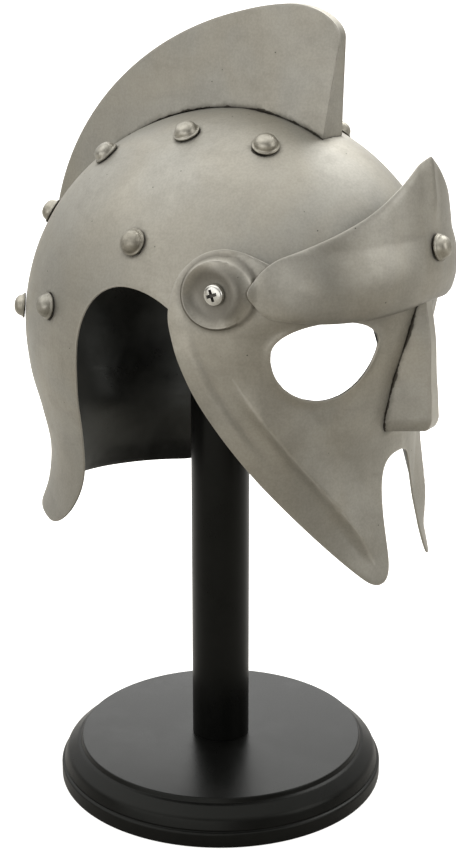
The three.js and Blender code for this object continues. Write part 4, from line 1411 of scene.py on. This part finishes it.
# build order: the crest, nose and brow first, because the sheets under them keep their seams

crestFoot = makeCrest()
print("crest made")
noseFoot = makeNose()
browRim = makeBrow()
print("nose and brow guards made")
studSeats = makeStuds()
makeScrews()
print("studs and screws made")
makeSkull([crestFoot, *(studFoot(seat, axis) for seat, axis in studSeats["skullStuds"])])
print("skull made")
makeMask(noseFoot, browRim)
print("face mask made")
makeStand()
print("stand made")


# floor, light and camera

studio = {
    "floorColour": (0.70, 0.685, 0.655, 1), "floorShade": (0.32, 0.302, 0.268, 1), "floorSize": 40.0,
    "floorTowards": (0.90, 0.44, 0.0), "floorFade": (-0.35, 0.55),  # paler towards there, in metres
    "floorRough": 0.7, "floorLift": 0.82,
    "skyFrom": (0.30, 0.22, 0.93), "skyFade": (-0.35, 1.0),  # brightest there, darkest opposite
    "skyGlow": (0.12, 1.05), "skyLowColour": (1, 0.955, 0.88, 1), "skyHighColour": (1, 1, 0.99, 1),
    "white": (1, 1, 1, 1),
    "sun": {"from": (0.16, 0.40, 1.0), "angle": 100, "strength": 1.0},
    "lights": [  # name, place, target, size, power
        ("keyBox", (-1.0, 1.1, 1.7), (0, 0, 0.32), (2.0, 2.0), 4.8),
        ("frontBox", (0.15, -1.5, 0.75), (0, 0, 0.30), (0.9, 0.9), 4.6),
        ("backBox", (1.1, 0.7, 0.8), (0, 0, 0.32), (0.8, 1.0), 4.6),
        ("rightBox", (1.05, -0.15, 1.50), (0, 0, 0.40), (0.9, 0.9), 8),
        ("sideBox", (-1.65, 0.0, 0.5), (0, 0, 0.36), (2.6, 0.9), 11),
    ],
}
photoView = {
    "distance": 917, "height": 498.1, "azimuth": -57, "pitch": 16.6,
    "panPixels": 8, "focalPixels": 1606.64, "imageHeight": 850, "sensor": 36,
}


# a pale floor that looks as even as a paper roll
def makeFloor():
    size = studio["floorSize"] / mm
    floor = meshObject("floor", [(-size, -size, 0), (size, -size, 0), (size, size, 0), (-size, size, 0)],
                       [(0, 1, 2, 3)])
    material, tree, shader, place = newMaterial("paleFloor")
    paler = ramp(tree, alongDirection(tree, place, studio["floorTowards"]), *studio["floorFade"])
    seen = put(tree, "ShaderNodeLightPath").outputs["Is Camera Ray"]
    setInputs(tree, shader, {
        "Base Color": mixColours(tree, paler, studio["floorShade"], studio["floorColour"]),
        "Roughness": studio["floorRough"], "Emission Color": studio["white"],
        "Emission Strength": times(tree, seen, studio["floorLift"])})
    floor.data.materials.append(material)


def aim(obj, spot, target):
    obj.location = spot
    obj.rotation_euler = (Vector(target) - Vector(spot)).to_track_quat("-Z", "Y").to_euler()


def makeLights():
    for name, spot, target, size, power in studio["lights"]:
        data = bpy.data.lights.new(name, "AREA")
        data.shape = "RECTANGLE"
        data.size, data.size_y = size
        data.energy = power
        aim(linked(name, data), spot, target)
    sun = bpy.data.lights.new("softSun", "SUN")
    sun.angle = math.radians(studio["sun"]["angle"])
    sun.energy = studio["sun"]["strength"]
    aim(linked("softSun", sun), studio["sun"]["from"], (0, 0, 0))


# a soft room for the light, and plain white behind for the camera
def makeRoom():
    world = bpy.data.worlds.new("softRoom")
    world.use_nodes = True
    tree = world.node_tree
    tree.nodes.clear()
    direction = put(tree, "ShaderNodeTexCoord").outputs["Generated"]
    height = ramp(tree, alongDirection(tree, direction, studio["skyFrom"]), *studio["skyFade"])
    tint = mixColours(tree, height, studio["skyLowColour"], studio["skyHighColour"])
    glow = ramp(tree, height, 0, 1, *studio["skyGlow"])
    room = put(tree, "ShaderNodeBackground", {}, {"Color": tint, "Strength": glow})
    backdrop = put(tree, "ShaderNodeBackground", {}, {"Color": studio["white"], "Strength": 1.0})
    seen = put(tree, "ShaderNodeLightPath").outputs["Is Camera Ray"]
    both = put(tree, "ShaderNodeMixShader", {}, {0: seen, 1: room.outputs[0], 2: backdrop.outputs[0]})
    put(tree, "ShaderNodeOutputWorld", {}, {0: both.outputs[0]})
    bpy.context.scene.world = world


def makeCamera():
    data = bpy.data.cameras.new("photoCamera")
    data.sensor_width = photoView["sensor"]
    data.lens = photoView["focalPixels"] * data.sensor_width / photoView["imageHeight"]
    camera = linked("photoCamera", data)
    turn = math.radians(photoView["azimuth"])
    away = photoView["distance"] * mm
    camera.location = (math.sin(turn) * away, -math.cos(turn) * away, photoView["height"] * mm)
    pan = math.atan(photoView["panPixels"] / photoView["focalPixels"])
    camera.rotation_euler = (math.radians(90 - photoView["pitch"]), 0, turn - pan)
    bpy.context.scene.camera = camera


makeFloor()
makeLights()
makeRoom()
makeCamera()
bpy.context.scene.view_settings.view_transform = "Standard"
print("floor, light and camera made")
